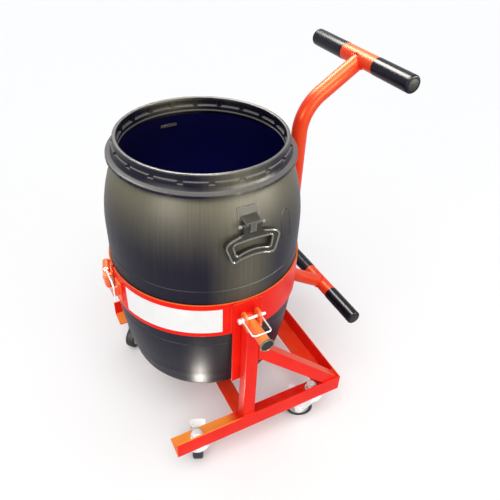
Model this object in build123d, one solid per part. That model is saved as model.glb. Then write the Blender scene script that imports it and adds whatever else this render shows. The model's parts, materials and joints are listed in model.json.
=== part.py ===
from build123d import *
import math
import os

# Barrel cart: a plastic mixing barrel held by a steel band between two posts.
# The band tilts on two trunnions, and the frame rolls on four swivel casters.
# Lengths are millimetres and angles degrees. +Z is up, +X points to the handles
# at the rear, and +Y points to the far side. The barrel's axis is at X = 0
# while the pieces are made, and the export moves the middle of the cart there.

# Barrel
barrel_radius = 225.0
barrel_belly_z = 481.0
barrel_bottom_z = 200.0
barrel_base_radius = 188.0
barrel_corner_radius = 42.0
barrel_wall = 4.0
shoulder_start_z = 616.0
shoulder_radius = 191.0
shoulder_z = 771.0
collar_radius = 204.5
collar_z = 779.0
collar_thickness = 7.5
neck_radius = 190.0
mouth_radius = 178.0
mouth_depth = 26.0
rim_top_z = 820.0
rim_bead_height = 10.0
rim_bead_radius = 186.5
rim_edge_round = 3.5

# Band, hanger plates and label
seat_gap = 0.05
band_gap = 0.3
band_thickness = 4.0
band_bottom_z = 434.0
band_height = 94.0
band_split = 9.0
hanger_width = 70.0
hanger_thickness = 5.0
hanger_bottom_z = 273.0
label_height = 68.0
label_arc = 59.0
label_start_angle = 197.0
label_thickness = 1.0

# Trunnions
trunnion_z = 477.0
trunnion_radius = 13.0
trunnion_wall = 3.0
trunnion_end_y = 321.0
plug_flange = 4.0
plug_depth = 14.0

# Base frame
rail_thickness = 4.0
rail_flange = 54.0
rail_upstand = 50.0
rail_bottom_z = 110.0
rail_front_x = -196.0
rail_rear_x = 279.0
cross_bar_width = 41.0
post_size = 32.0
post_wall = 2.5
post_corner_radius = 3.75
post_gap = 1.7
brace_top_z = 388.0
brace_foot_rise = 15.0

# Saddles and lock pins
running_clearance = 0.06
saddle_wall = 6.0
saddle_depth = 28.0
ear_rise = 18.0
ear_round = 12.0
lock_pin_radius = 3.5
lock_pin_lift = 0.3
lock_pin_neck = 6.0
lock_pin_head_radius = 6.5
lock_pin_head_length = 7.0
lock_pin_tip = 9.0
wire_radius = 1.7
bail_eye_radius = 6.2
bail_side_gap = 0.6
bail_reach = 50.0
bail_corner_radius = 6.0
bail_rest_gap = 0.3

# Handle tube, cross bars and grips
handle_tube_radius = 13.5
handle_tube_wall = 2.6
handle_bend_radius = 105.0
upper_bar_x = 393.0
upper_bar_z = 922.0
upper_bend_z = 823.0
lower_bar_x = 379.0
lower_bar_z = 252.0
lower_bend_z = 340.0
cross_bar_radius = 13.5
cross_bar_half = 170.0
grip_radius = 20.0
grip_length = 117.0
grip_end_wall = 5.0
grip_round = 5.0

# Band latch
latch_stand_off = 13.0
latch_pivot_y = 10.0
latch_pin_radius = 3.0
latch_lug_radius = 6.0
latch_lug_thickness = 4.0
latch_lug_gap = 0.3
latch_hub_radius = 7.5
latch_hub_half = 14.0
latch_crank = 12.5
latch_over_centre = 4.0
lever_tube_radius = 9.0
lever_tube_wall = 2.0
lever_tube_length = 60.0
lever_lean = 14.0
latch_stub_radius = 2.5
latch_eye_radius = 5.2
latch_eye_height = 3.6
latch_wire_radius = 2.0
latch_bail_half = 24.0
latch_bail_corner_radius = 10.4
catch_y = -36.0
catch_thickness = 5.0
catch_half = 13.0
catch_gap = 0.3
latch_pad_width = 26.0
latch_pad_half = 26.0
latch_pad_thickness = 3.0

# Barrel drop handles
barrel_turn = 1.7
drop_pivot_z = 719.0
drop_stand_off = 10.2
drop_pin_radius = 3.5
drop_pin_half = 29.0
drop_side_gap = 0.4
clip_pad_half = 23.0
clip_pad_above = 31.0
clip_pad_below = 8.0
clip_pad_thickness = 2.0
clip_pad_round = 3.0
tongue_half = 6.5
tongue_front = 8.5
tongue_drop = 13.0
hood_half = 17.0
hood_height = 10.5
hood_lip = 2.5
yoke_half = 21.0
yoke_radius = 6.5
yoke_slot_gap = 1.0
loop_thickness = 11.0
loop_wall_gap = 1.2
loop_shoulder_half = 64.5
loop_shoulder_drop = 29.0
loop_shoulder_arch = 15.0
loop_foot_half = 48.0
loop_foot_drop = 78.0
loop_foot_arch = 10.0
loop_corner_radius = 12.0
loop_shoulder_bar = 21.0
loop_foot_bar = 10.0
loop_grip_bar = 18.5
loop_gap_height = 25.5
loop_gap_top_arch = 2.0
loop_gap_foot_arch = 8.0
loop_gap_round = 6.0
loop_groove_depth = 1.8
loop_rib_width = 4.0

# Casters
caster_front_setback = 62.5
caster_rear_setback = 70.5
caster_inset = 30.0
caster_trail = 27.0
wheel_radius = 38.0
tyre_width = 27.0
tyre_round = 6.0
hub_radius = 27.0
hub_width = 32.0
hub_boss_radius = 13.0
hub_web = 12.0
hub_rim = 4.0
axle_radius = 5.0
axle_head_radius = 8.5
axle_head_length = 5.0
fork_inner_half = 16.5
fork_wall = 3.0
fork_boss_radius = 12.0
fork_crown_radius = 34.0
fork_crown_thickness = 8.0
race_radius = 31.0
race_thickness = 5.0
stack_gap = 0.3
kingpin_radius = 8.0
kingpin_head_radius = 13.0
kingpin_head_height = 4.0
kingpin_stick_out = 5.0
nut_across_flats = 27.0
nut_height = 13.0
washer_radius = 17.0
washer_thickness = 3.0
front_near_trail_angle = 66.0
rear_near_trail_angle = 152.0
front_far_trail_angle = 220.0
rear_far_trail_angle = 160.0

# Brake pedals on the two near casters
braked_spots = ("front_near", "rear_near")
pedal_pivot_x = 40.5
pedal_pivot_z = 92.0
pedal_pivot_radius = 2.5
pedal_boss_radius = 5.5
pedal_cheek = 3.0
pedal_side_gap = 0.4
pedal_tongue_start = 37.5
pedal_plate_start = 44.0
pedal_plate_end = 61.0
pedal_width = 42.0
pedal_thickness = 2.5
pedal_plate_rise = 5.5
pedal_slope = 8.0
pedal_press = 10.0
pedal_corner = 8.0
shoe_start = 47.0
shoe_length = 8.0
shoe_half = 10.0
shoe_gap = 0.3

# Heights and reaches worked out from the values above
band_inner_radius = barrel_radius + band_gap
band_outer_radius = band_inner_radius + band_thickness
band_top_z = band_bottom_z + band_height
band_mid_z = band_bottom_z + band_height / 2
hanger_inner_y = band_outer_radius + seat_gap
hanger_outer_y = hanger_inner_y + hanger_thickness
post_inner_y = hanger_outer_y + post_gap
post_mid_y = post_inner_y + post_size / 2
rail_outer_y = post_inner_y + post_size + rail_thickness
rail_inner_y = rail_outer_y - rail_flange
flange_top_z = rail_bottom_z + rail_thickness
saddle_inner_radius = trunnion_radius + running_clearance
saddle_outer_radius = saddle_inner_radius + saddle_wall
lock_pin_z = trunnion_z + trunnion_radius + lock_pin_radius + lock_pin_lift
handle_x = band_outer_radius + seat_gap + handle_tube_radius
latch_x = -(band_outer_radius + latch_stand_off)
caster_y = rail_outer_y - caster_inset
caster_spots = {
    "front_near": (rail_front_x + caster_front_setback, -caster_y),
    "rear_near": (rail_rear_x - caster_rear_setback, -caster_y),
    "front_far": (rail_front_x + caster_front_setback, caster_y),
    "rear_far": (rail_rear_x - caster_rear_setback, caster_y),
}
trail_angles = {
    "front_near": front_near_trail_angle,
    "rear_near": rear_near_trail_angle,
    "front_far": front_far_trail_angle,
    "rear_far": rear_far_trail_angle,
}
front_reach = latch_x - lever_tube_radius * math.cos(math.radians(lever_lean))
rear_reach = upper_bar_x + grip_radius
middle_x = (front_reach + rear_reach) / 2
LARGE = 2000.0


def rod(start, end, radius):
    """A round bar between two points."""
    path = Vector(*end) - Vector(*start)
    return extrude(Plane(origin=start, z_dir=path) * Circle(radius), path.length)


def pipe(start, end, radius, wall):
    """A round tube between two points."""
    path = Vector(*end) - Vector(*start)
    section = Circle(radius) - Circle(radius - wall)
    return extrude(Plane(origin=start, z_dir=path) * section, path.length)


def far_side(piece):
    """The same piece on the other side of the cart."""
    return mirror(piece, about=Plane.XZ)


def turned_profile(points):
    """A solid turned about Z from a closed outline of radius and height pairs."""
    return revolve(Plane.XZ * make_face(Polyline(*points, close=True)), Axis.Z)


# Barrel: one blow-moulded shell turned about its axis
def wall_outline(inset):
    """Half outline of the barrel's body, from the axis at the bottom to the shoulder."""
    belly = (barrel_radius - inset, barrel_belly_z)
    shoulder_start = (barrel_radius - inset, shoulder_start_z)
    base = (barrel_base_radius - inset, barrel_bottom_z + inset)
    shoulder = (shoulder_radius - inset, shoulder_z)
    lower = TangentArc(belly, base, tangent=(0, -1))
    side = Line(belly, shoulder_start)
    upper = TangentArc(shoulder_start, shoulder, tangent=(0, 1))
    axis_foot = (0, base[1])
    axis_top = (0, shoulder_z)
    edges = [Line(axis_foot, base), lower, side, upper, Line(shoulder, axis_top), Line(axis_top, axis_foot)]
    face = make_face(edges)
    corner = face.vertices().sort_by_distance(Vector(*base))[0]
    return fillet(corner, barrel_corner_radius - inset)


def barrel_body(inset):
    return revolve(Plane.XZ * wall_outline(inset), Axis.Z)


def barrel():
    collar_top = collar_z + collar_thickness
    bead_bottom = rim_top_z - rim_bead_height
    mouth_bottom = rim_top_z - mouth_depth
    shoulder_inner = shoulder_radius - barrel_wall
    top_outline = [
        (shoulder_inner, shoulder_z),
        (shoulder_radius, shoulder_z),
        (neck_radius, collar_z),
        (collar_radius, collar_z),
        (collar_radius, collar_top),
        (neck_radius, collar_top + barrel_wall),
        (rim_bead_radius - barrel_wall, bead_bottom),
        (rim_bead_radius, bead_bottom),
        (rim_bead_radius, rim_top_z),
        (mouth_radius, rim_top_z),
        (mouth_radius, mouth_bottom),
    ]
    outline = make_face(Polyline(*top_outline, close=True))
    rim_corners = outline.vertices().group_by(Axis.Y)[-1]
    outline = fillet(rim_corners, rim_edge_round)
    top = revolve(Plane.XZ * outline, Axis.Z)
    shell = barrel_body(0) - barrel_body(barrel_wall)
    return shell + top


# Band with its front split, hanger plates, trunnions and label
def band():
    section = Pos((band_inner_radius + band_outer_radius) / 2, band_mid_z) * Rectangle(band_thickness, band_height)
    ring = revolve(Plane.XZ * section, Axis.Z)
    split = Pos(-band_outer_radius, 0, band_mid_z) * Box(band_outer_radius, band_split, 2 * band_height)
    return ring - split


def hanger():
    height = band_top_z - hanger_bottom_z
    middle_y = -(hanger_inner_y + hanger_thickness / 2)
    return Pos(0, middle_y, hanger_bottom_z + height / 2) * Box(hanger_width, hanger_thickness, height)


def trunnion():
    return pipe((0, -hanger_outer_y, trunnion_z), (0, -trunnion_end_y, trunnion_z), trunnion_radius, trunnion_wall)


def trunnion_plug():
    outer_y = trunnion_end_y + plug_flange
    flange = rod((0, -trunnion_end_y, trunnion_z), (0, -outer_y, trunnion_z), trunnion_radius)
    outer_edge = flange.edges().group_by(Axis.Y)[0]
    flange = fillet(outer_edge, plug_flange / 2)
    stub_radius = trunnion_radius - trunnion_wall - seat_gap
    stub = rod((0, plug_depth - trunnion_end_y, trunnion_z), (0, -trunnion_end_y, trunnion_z), stub_radius)
    return flange + stub


def label_plate():
    inner = band_outer_radius + seat_gap
    section = Pos(inner + label_thickness / 2, band_mid_z) * Rectangle(label_thickness, label_height)
    plate = revolve(Plane.XZ * section, Axis.Z, label_arc)
    return Rot(0, 0, label_start_angle) * plate


# Base frame of angle rails, a flat cross bar, posts and braces
def angle_section():
    """Angle section with its corner at the origin, flange along +X and upstand along +Y."""
    flange = Rectangle(rail_flange, rail_thickness, align=(Align.MIN, Align.MIN))
    upstand = Rectangle(rail_thickness, rail_upstand, align=(Align.MIN, Align.MIN))
    return flange + upstand


def mitre_block(side):
    """Block on one side of the upright 45 degree plane through the near rear corner."""
    corner = Pos(rail_rear_x, -rail_outer_y, rail_bottom_z) * Rot(0, 0, 45)
    return corner * Pos(side * LARGE / 2, 0, 0) * Box(LARGE, LARGE, LARGE)


def side_rail():
    along = Plane(origin=(rail_front_x, -rail_outer_y, rail_bottom_z), x_dir=(0, 1, 0), z_dir=(1, 0, 0))
    bar = extrude(along * angle_section(), rail_rear_x - rail_front_x)
    for x, y in caster_spots.values():
        bar -= Pos(x, y, rail_bottom_z) * Cylinder(kingpin_radius, rail_flange)
    return bar - mitre_block(1)


def rear_rail():
    along = Plane(origin=(rail_rear_x, -rail_outer_y, rail_bottom_z), x_dir=(-1, 0, 0), z_dir=(0, 1, 0))
    bar = extrude(along * angle_section(), 2 * rail_outer_y)
    near_end = mitre_block(-1)
    return bar - near_end - far_side(near_end)


def cross_bar():
    return Pos(0, 0, rail_bottom_z + rail_thickness / 2) * Box(cross_bar_width, 2 * rail_inner_y, rail_thickness)


def square_tube(length):
    """Square tube standing on the origin."""
    outer = RectangleRounded(post_size, post_size, post_corner_radius)
    inner_size = post_size - 2 * post_wall
    inner = RectangleRounded(inner_size, inner_size, post_corner_radius - post_wall / 2)
    return extrude(outer - inner, length)


def post():
    tube = Pos(0, -post_mid_y, flange_top_z) * square_tube(trunnion_z - flange_top_z)
    seat_radius = saddle_outer_radius + seat_gap
    return tube - rod((0, -rail_outer_y, trunnion_z), (0, -band_outer_radius, trunnion_z), seat_radius)


def brace():
    post_face_x = post_size / 2
    rail_face_x = rail_rear_x - rail_thickness
    top = Vector(post_face_x, -post_mid_y, brace_top_z)
    foot = Vector(rail_face_x, -post_mid_y, flange_top_z + brace_foot_rise)
    run = (foot - top).normalized()
    tube_plane = Plane(origin=top - run * post_size, x_dir=(0, 1, 0), z_dir=run)
    bar = tube_plane * square_tube((foot - top).length + 3 * post_size)
    in_front = Pos(post_face_x - LARGE / 2, 0, 0) * Box(LARGE, LARGE, LARGE)
    behind = Pos(rail_face_x + LARGE / 2, 0, 0) * Box(LARGE, LARGE, LARGE)
    below = Pos(0, 0, flange_top_z - LARGE / 2) * Box(LARGE, LARGE, LARGE)
    return bar - in_front - behind - below


# Saddle on each post top, with a lock pin over the trunnion and its wire bail
def saddle():
    ear_top = lock_pin_z + ear_rise
    ear_height = ear_top - trunnion_z
    block = Box(2 * saddle_outer_radius, saddle_depth, ear_height, align=(Align.CENTER, Align.CENTER, Align.MIN))
    round_foot = rod((0, -saddle_depth / 2, 0), (0, saddle_depth / 2, 0), saddle_outer_radius)
    channel = Box(2 * saddle_inner_radius, LARGE, LARGE, align=(Align.CENTER, Align.CENTER, Align.MIN))
    bearing = rod((0, -LARGE, 0), (0, LARGE, 0), saddle_inner_radius)
    strap = block + round_foot - channel - bearing
    ear_edges = strap.edges().filter_by(Axis.X).group_by(Axis.Z)[-1]
    strap = fillet(ear_edges, ear_round)
    pin_hole_radius = lock_pin_radius + running_clearance
    pin_height = lock_pin_z - trunnion_z
    strap -= rod((-LARGE, 0, pin_height), (LARGE, 0, pin_height), pin_hole_radius)
    return Pos(0, -post_mid_y, trunnion_z) * strap


def lock_pin():
    ear_face = saddle_outer_radius
    head_start = -(ear_face + lock_pin_neck + lock_pin_head_length)
    tip_end = ear_face + lock_pin_neck + lock_pin_tip
    bar = rod((head_start, 0, 0), (tip_end, 0, 0), lock_pin_radius)
    bar = chamfer(bar.edges().group_by(Axis.X)[-1], lock_pin_radius / 3)
    head = rod((head_start, 0, 0), (head_start + lock_pin_head_length, 0, 0), lock_pin_head_radius)
    head = fillet(head.edges().filter_by(GeomType.CIRCLE), lock_pin_head_length / 3)
    return Pos(0, -post_mid_y, lock_pin_z) * (bar + head)


def wire_bail(half_width, reach, radius, corner):
    """Three-sided wire in the XY plane, open towards +Y, with its legs at plus and minus half_width."""
    points = [(-half_width, 0, 0), (-half_width, -reach, 0), (half_width, -reach, 0), (half_width, 0, 0)]
    path = FilletPolyline(*points, radius=corner)
    section = Plane(origin=path @ 0, z_dir=path % 0) * Circle(radius)
    return sweep(section, path)


def lock_bail():
    leg_x = saddle_outer_radius + lock_pin_neck / 2
    eye_length = lock_pin_neck - 2 * bail_side_gap
    wire = wire_bail(leg_x, bail_reach, wire_radius, bail_corner_radius)
    eye_hole = rod((-LARGE, 0, 0), (LARGE, 0, 0), lock_pin_radius + running_clearance)
    for side in (-1, 1):
        eye_start = side * leg_x - eye_length / 2
        wire += rod((eye_start, 0, 0), (eye_start + eye_length, 0, 0), bail_eye_radius)
    wire -= eye_hole
    tube_top_drop = lock_pin_z - trunnion_z - trunnion_radius
    lean = math.degrees(math.asin((tube_top_drop - wire_radius - bail_rest_gap) / bail_reach))
    return Pos(0, -post_mid_y, lock_pin_z) * Rot(lean, 0, 0) * wire


# Handle: one bent tube up the back of the band with a cross bar at each end
def handle_outline(radius):
    points = [
        (upper_bar_x, 0, upper_bar_z),
        (handle_x, 0, upper_bend_z),
        (handle_x, 0, lower_bend_z),
        (lower_bar_x, 0, lower_bar_z),
    ]
    path = FilletPolyline(*points, radius=handle_bend_radius)
    return sweep(Plane(origin=path @ 0, z_dir=path % 0) * Circle(radius), path)


def bar_space(x, z):
    return rod((x, -cross_bar_half, z), (x, cross_bar_half, z), cross_bar_radius + seat_gap)


def handle_tube():
    tube = handle_outline(handle_tube_radius) - handle_outline(handle_tube_radius - handle_tube_wall)
    tube = tube - bar_space(upper_bar_x, upper_bar_z) - bar_space(lower_bar_x, lower_bar_z)
    return tube.solids().sort_by(SortBy.VOLUME)[-1]


def handle_bar(x, z):
    return pipe((x, -cross_bar_half, z), (x, cross_bar_half, z), cross_bar_radius, handle_tube_wall)


def grip(x, z):
    """Near grip: a sleeve with a closed, rounded outer end."""
    bore = cross_bar_radius + seat_gap
    outer_end = cross_bar_half + seat_gap + grip_end_wall
    inner_end = outer_end - grip_length
    bore_end = cross_bar_half + seat_gap
    outline = [
        (bore, inner_end),
        (grip_radius, inner_end),
        (grip_radius, outer_end),
        (0, outer_end),
        (0, bore_end),
        (bore, bore_end),
    ]
    face = make_face(Polyline(*outline, close=True))
    end_corner = face.vertices().sort_by_distance(Vector(grip_radius, outer_end))[0]
    face = fillet(end_corner, grip_round)
    sleeve = revolve(Plane.XZ * face, Axis.Z)
    return Pos(x, 0, z) * Rot(90, 0, 0) * sleeve


# Latch that draws the split band together
def latch_hook_point():
    """Pivot of the bail on the lever, just past the centre line."""
    angle = math.radians(90 - latch_over_centre)
    return latch_x + latch_crank * math.cos(angle), latch_pivot_y + latch_crank * math.sin(angle)


def band_space():
    return Pos(0, 0, band_mid_z) * Cylinder(band_outer_radius + seat_gap, 2 * band_height)


def latch_pad(middle_y):
    """Curved pad on the band that carries one half of the latch."""
    outer = Cylinder(band_outer_radius + seat_gap + latch_pad_thickness, 2 * latch_pad_half)
    inner = Cylinder(band_outer_radius + seat_gap, LARGE)
    window = Pos(-band_outer_radius, middle_y, 0) * Box(band_outer_radius, latch_pad_width, LARGE)
    return Pos(0, 0, band_mid_z) * ((outer - inner) & window)


def latch_base():
    lug_start = latch_hub_half + latch_lug_gap
    lug_end = lug_start + latch_lug_thickness
    pad_middle_y = band_split / 2 + latch_pad_width / 2
    base = latch_pad(pad_middle_y)
    arm_length = band_outer_radius + latch_x
    for side in (-1, 1):
        level = band_mid_z + side * (lug_start + lug_end) / 2
        eye = Pos(latch_x, latch_pivot_y, level) * Cylinder(latch_lug_radius, latch_lug_thickness)
        arm = Pos(latch_x - arm_length / 2, latch_pivot_y, level)
        arm *= Box(abs(arm_length), 2 * latch_lug_radius, latch_lug_thickness)
        base += eye + (arm - band_space())
    base += Pos(latch_x, latch_pivot_y, band_mid_z) * Cylinder(latch_pin_radius, 2 * lug_end)
    return base


def latch_catch():
    catch = latch_pad(catch_y + catch_thickness)
    reach = latch_stand_off + latch_wire_radius
    post_x = -(band_outer_radius + reach / 2)
    stop = Pos(post_x, catch_y + catch_thickness / 2, band_mid_z) * Box(reach, catch_thickness, 2 * catch_half)
    return catch + (stop - band_space())


def latch_lever():
    hook_x, hook_y = latch_hook_point()
    stub_end = latch_bail_half + latch_eye_height / 2
    tube_start = latch_pivot_y + latch_crank
    hub = Pos(latch_x, latch_pivot_y, band_mid_z) * Cylinder(latch_hub_radius, 2 * latch_hub_half)
    cheek_mid_y = (latch_pivot_y + tube_start) / 2
    cheek = Pos(latch_x, cheek_mid_y, band_mid_z)
    cheek *= Box(2 * latch_hub_radius, latch_crank, 2 * latch_hub_half)
    nose = Pos(latch_x, tube_start, band_mid_z) * Cylinder(latch_hub_radius, 2 * latch_hub_half)
    tube = pipe((0, 0, 0), (0, lever_tube_length, 0), lever_tube_radius, lever_tube_wall)
    tube = Pos(latch_x, tube_start, band_mid_z) * Rot(0, 0, -lever_lean) * tube
    stubs = Pos(hook_x, hook_y, band_mid_z) * Cylinder(latch_stub_radius, 2 * stub_end)
    bore = Pos(latch_x, latch_pivot_y, band_mid_z) * Cylinder(latch_pin_radius + running_clearance, LARGE)
    return hub + cheek + nose + tube + stubs - bore


def latch_bail():
    hook_x, hook_y = latch_hook_point()
    bar_y = catch_y - catch_gap - latch_wire_radius
    reach = hook_y - bar_y
    wire = Rot(0, 90, 0) * wire_bail(latch_bail_half, reach, latch_wire_radius, latch_bail_corner_radius)
    eye_radius = latch_stub_radius + running_clearance
    for side in (-1, 1):
        wire += Pos(0, 0, side * latch_bail_half) * Cylinder(latch_eye_radius, latch_eye_height)
    wire -= Cylinder(eye_radius, LARGE)
    return Pos(hook_x, hook_y, band_mid_z) * wire


# Drop handles on the barrel's sides
def wall_radius_at(z):
    """Outer radius of the barrel's body at one height."""
    across = Line((0, z), (LARGE, z)) & wall_outline(0)
    return across.bounding_box().max.X


def drop_pivot_y():
    """Pivot line, a little in front of the shoulder."""
    return -(wall_radius_at(drop_pivot_z) + drop_stand_off)


def drop_lean():
    """Angle at which the hanging loop rests against the barrel's side."""
    foot_radius = wall_radius_at(drop_pivot_z - loop_foot_drop) + loop_wall_gap + loop_thickness / 2
    return math.degrees(math.asin((foot_radius + drop_pivot_y()) / loop_foot_drop))


def clip_reach():
    """Distance from the pivot to the tongue's farthest corner, which the yoke has to clear."""
    return math.hypot(tongue_drop, tongue_front)


def handle_clip():
    """Pad on the barrel with a hooded tongue that carries the loop's pin."""
    pivot_y = drop_pivot_y()
    pad_height = clip_pad_above + clip_pad_below
    pad = Box(2 * clip_pad_half, LARGE, pad_height, align=(Align.CENTER, Align.MAX, Align.MIN))
    pad = fillet(pad.edges().filter_by(Axis.Y), clip_pad_round)
    pad = Pos(0, 0, drop_pivot_z - clip_pad_below) * pad & barrel_body(-clip_pad_thickness)
    front_y = pivot_y - tongue_front
    tongue_height = tongue_drop + yoke_radius + yoke_slot_gap
    tongue = Box(2 * tongue_half, -front_y, tongue_height, align=(Align.CENTER, Align.MIN, Align.MIN))
    tongue = Pos(0, front_y, drop_pivot_z - tongue_drop) * tongue
    hood_bottom_z = drop_pivot_z + yoke_radius + yoke_slot_gap
    hood_top_z = hood_bottom_z + hood_height
    seat_y = barrel_wall - wall_radius_at(hood_top_z)
    hood_side = [
        (front_y, hood_bottom_z),
        (seat_y, hood_bottom_z),
        (seat_y, hood_top_z),
        (front_y, hood_bottom_z + hood_lip),
    ]
    hood = extrude(Plane.YZ * make_face(Polyline(*hood_side, close=True)), hood_half, both=True)
    bore = Pos(0, pivot_y, drop_pivot_z) * Rot(0, 90, 0) * Cylinder(drop_pin_radius + running_clearance, LARGE)
    under_tongue = Pos(0, pivot_y + yoke_radius, drop_pivot_z - yoke_radius)
    under_tongue *= Box(LARGE, LARGE, LARGE, align=(Align.CENTER, Align.MIN, Align.MAX))
    return pad + (tongue - under_tongue + hood - bore) - barrel_body(-seat_gap)


def arched_outline(top_half, top_drop, top_arch, foot_half, foot_drop, foot_arch):
    """Four-sided face below the pivot whose top and bottom edges arch upwards."""
    top_left = (-top_half, -top_drop)
    top_right = (top_half, -top_drop)
    foot_left = (-foot_half, -foot_drop)
    foot_right = (foot_half, -foot_drop)
    edges = [
        ThreePointArc(top_left, (0, top_arch - top_drop), top_right),
        Line(top_right, foot_right),
        ThreePointArc(foot_right, (0, foot_arch - foot_drop), foot_left),
        Line(foot_left, top_left),
    ]
    return make_face(edges)


def drop_handle():
    """Loop with an arched finger grip, a grooved face and a yoke with its own pin."""
    outline = arched_outline(
        loop_shoulder_half, loop_shoulder_drop, loop_shoulder_arch, loop_foot_half, loop_foot_drop, loop_foot_arch)
    outline = fillet(outline.vertices(), loop_corner_radius)
    gap_foot_drop = loop_foot_drop - loop_grip_bar
    gap = arched_outline(
        loop_shoulder_half - loop_shoulder_bar, gap_foot_drop - loop_gap_height, loop_gap_top_arch,
        loop_foot_half - loop_foot_bar, gap_foot_drop, loop_gap_foot_arch)
    gap = fillet(gap.vertices(), loop_gap_round)
    half = loop_thickness / 2
    loop = extrude(Plane.XZ * (outline - gap), half, both=True)
    groove = offset(outline, -loop_rib_width) - offset(gap, loop_rib_width)
    for side in (-1, 1):
        face_y = side * (half - loop_groove_depth / 2)
        loop -= Pos(0, face_y, 0) * extrude(Plane.XZ * groove, loop_groove_depth / 2, both=True)
    yoke_drop = loop_shoulder_drop - loop_shoulder_arch + loop_rib_width
    yoke = Box(2 * yoke_half, loop_thickness, yoke_drop, align=(Align.CENTER, Align.CENTER, Align.MAX))
    yoke += Rot(0, 90, 0) * Cylinder(yoke_radius, 2 * yoke_half)
    slot_half = tongue_half + drop_side_gap
    slot = Pos(0, 0, -clip_reach() - yoke_slot_gap)
    slot *= Box(2 * slot_half, LARGE, LARGE, align=(Align.CENTER, Align.CENTER, Align.MIN))
    pin = Rot(0, 90, 0) * Cylinder(drop_pin_radius, 2 * drop_pin_half)
    return Pos(0, drop_pivot_y(), drop_pivot_z) * Rot(-drop_lean(), 0, 0) * (loop + yoke - slot + pin)


# Casters: made about the swivel axis with the wheel trailing along +X
race_bottom_z = rail_bottom_z - race_thickness
crown_top_z = race_bottom_z - stack_gap
crown_bottom_z = crown_top_z - fork_crown_thickness
head_top_z = crown_bottom_z - stack_gap
head_bottom_z = head_top_z - kingpin_head_height
washer_top_z = flange_top_z + washer_thickness
nut_top_z = washer_top_z + nut_height
kingpin_top_z = nut_top_z + kingpin_stick_out


def kingpin():
    shank = kingpin_radius - seat_gap
    outline = [
        (0, head_bottom_z),
        (kingpin_head_radius, head_bottom_z),
        (kingpin_head_radius, head_top_z),
        (kingpin_radius, head_top_z),
        (kingpin_radius, race_bottom_z),
        (race_radius, race_bottom_z),
        (race_radius, rail_bottom_z),
        (shank, rail_bottom_z),
        (shank, kingpin_top_z),
        (0, kingpin_top_z),
    ]
    return turned_profile(outline)


def brake_pedal():
    """Pedal hung between the fork legs, with a shoe that meets the tyre when it is pressed."""
    cheek_outer = fork_inner_half - pedal_side_gap
    cheek_inner = cheek_outer - pedal_cheek
    plate_z = pedal_plate_rise + pedal_thickness / 2
    tongue_length = pedal_plate_end - pedal_tongue_start
    tongue = Pos(pedal_tongue_start - pedal_pivot_x, 0, plate_z)
    tongue *= Box(tongue_length, 2 * cheek_outer, pedal_thickness, align=(Align.MIN, Align.CENTER, Align.CENTER))
    plate_length = pedal_plate_end - pedal_plate_start
    plate = Box(plate_length, pedal_width, pedal_thickness, align=(Align.MIN, Align.CENTER, Align.CENTER))
    plate = fillet(plate.edges().filter_by(Axis.Z), pedal_corner)
    pedal = tongue + Pos(pedal_plate_start - pedal_pivot_x, 0, plate_z) * plate
    cheek_end = shoe_start - pedal_pivot_x
    cheek_top = Line((0, plate_z), (cheek_end, plate_z))
    cheek_face = make_face(make_hull([cheek_top, CenterArc((0, 0), pedal_boss_radius, 0, 360)]).edges())
    for side in (-1, 1):
        cheek_y = side * (cheek_inner + cheek_outer) / 2
        pedal += Pos(0, cheek_y, 0) * extrude(Plane.XZ * cheek_face, pedal_cheek / 2, both=True)
    shoe_height = pedal_pivot_z + plate_z - wheel_radius
    shoe = Box(shoe_length, 2 * shoe_half, shoe_height, align=(Align.MIN, Align.CENTER, Align.MAX))
    pedal += Pos(shoe_start - pedal_pivot_x, 0, plate_z) * shoe
    pedal -= Rot(90, 0, 0) * Cylinder(pedal_pivot_radius + running_clearance, LARGE)
    wheel_room = Pos(caster_trail - pedal_pivot_x, 0, wheel_radius - pedal_pivot_z) * Rot(90, 0, 0)
    wheel_room *= Cylinder(wheel_radius + shoe_gap, LARGE)
    pedal -= Rot(0, pedal_slope - pedal_press, 0) * Rot(0, -pedal_slope, 0) * wheel_room
    return Pos(pedal_pivot_x, 0, pedal_pivot_z) * Rot(0, -pedal_slope, 0) * pedal


def kingpin_nut():
    return Pos(0, 0, washer_top_z) * extrude(nut_section(), nut_height)


def nut_section():
    return RegularPolygon(nut_across_flats / 2, 6, major_radius=False) - Circle(kingpin_radius)


def kingpin_washer():
    return Pos(0, 0, flange_top_z) * extrude(Circle(washer_radius) - Circle(kingpin_radius), washer_thickness)


def fork(braked):
    """Crown and two legs, with pivots for a pedal on the braked casters."""
    crown = Pos(0, 0, (crown_top_z + crown_bottom_z) / 2) * Cylinder(fork_crown_radius, fork_crown_thickness)
    outer_half = fork_inner_half + fork_wall
    leg_top_half = math.sqrt(fork_crown_radius ** 2 - outer_half ** 2)
    top_edge = Line((-leg_top_half, crown_top_z), (leg_top_half, crown_top_z))
    outline = [top_edge, CenterArc((caster_trail, wheel_radius), fork_boss_radius, 0, 360)]
    if braked:
        outline.append(CenterArc((pedal_pivot_x, pedal_pivot_z), pedal_boss_radius, 0, 360))
    leg_face = make_face(make_hull(outline).edges())
    leg_face -= Pos(caster_trail, wheel_radius) * Circle(axle_radius + seat_gap)
    leg = extrude(Plane.XZ * leg_face, fork_wall / 2, both=True)
    stub_length = pedal_side_gap + pedal_cheek
    for side in (-1, 1):
        crown += Pos(0, side * (fork_inner_half + fork_wall / 2), 0) * leg
        if braked:
            stub = Rot(90, 0, 0) * Cylinder(pedal_pivot_radius, stub_length)
            crown += Pos(pedal_pivot_x, side * (fork_inner_half - stub_length / 2), pedal_pivot_z) * stub
    return crown - Cylinder(kingpin_radius + running_clearance, LARGE)


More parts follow.
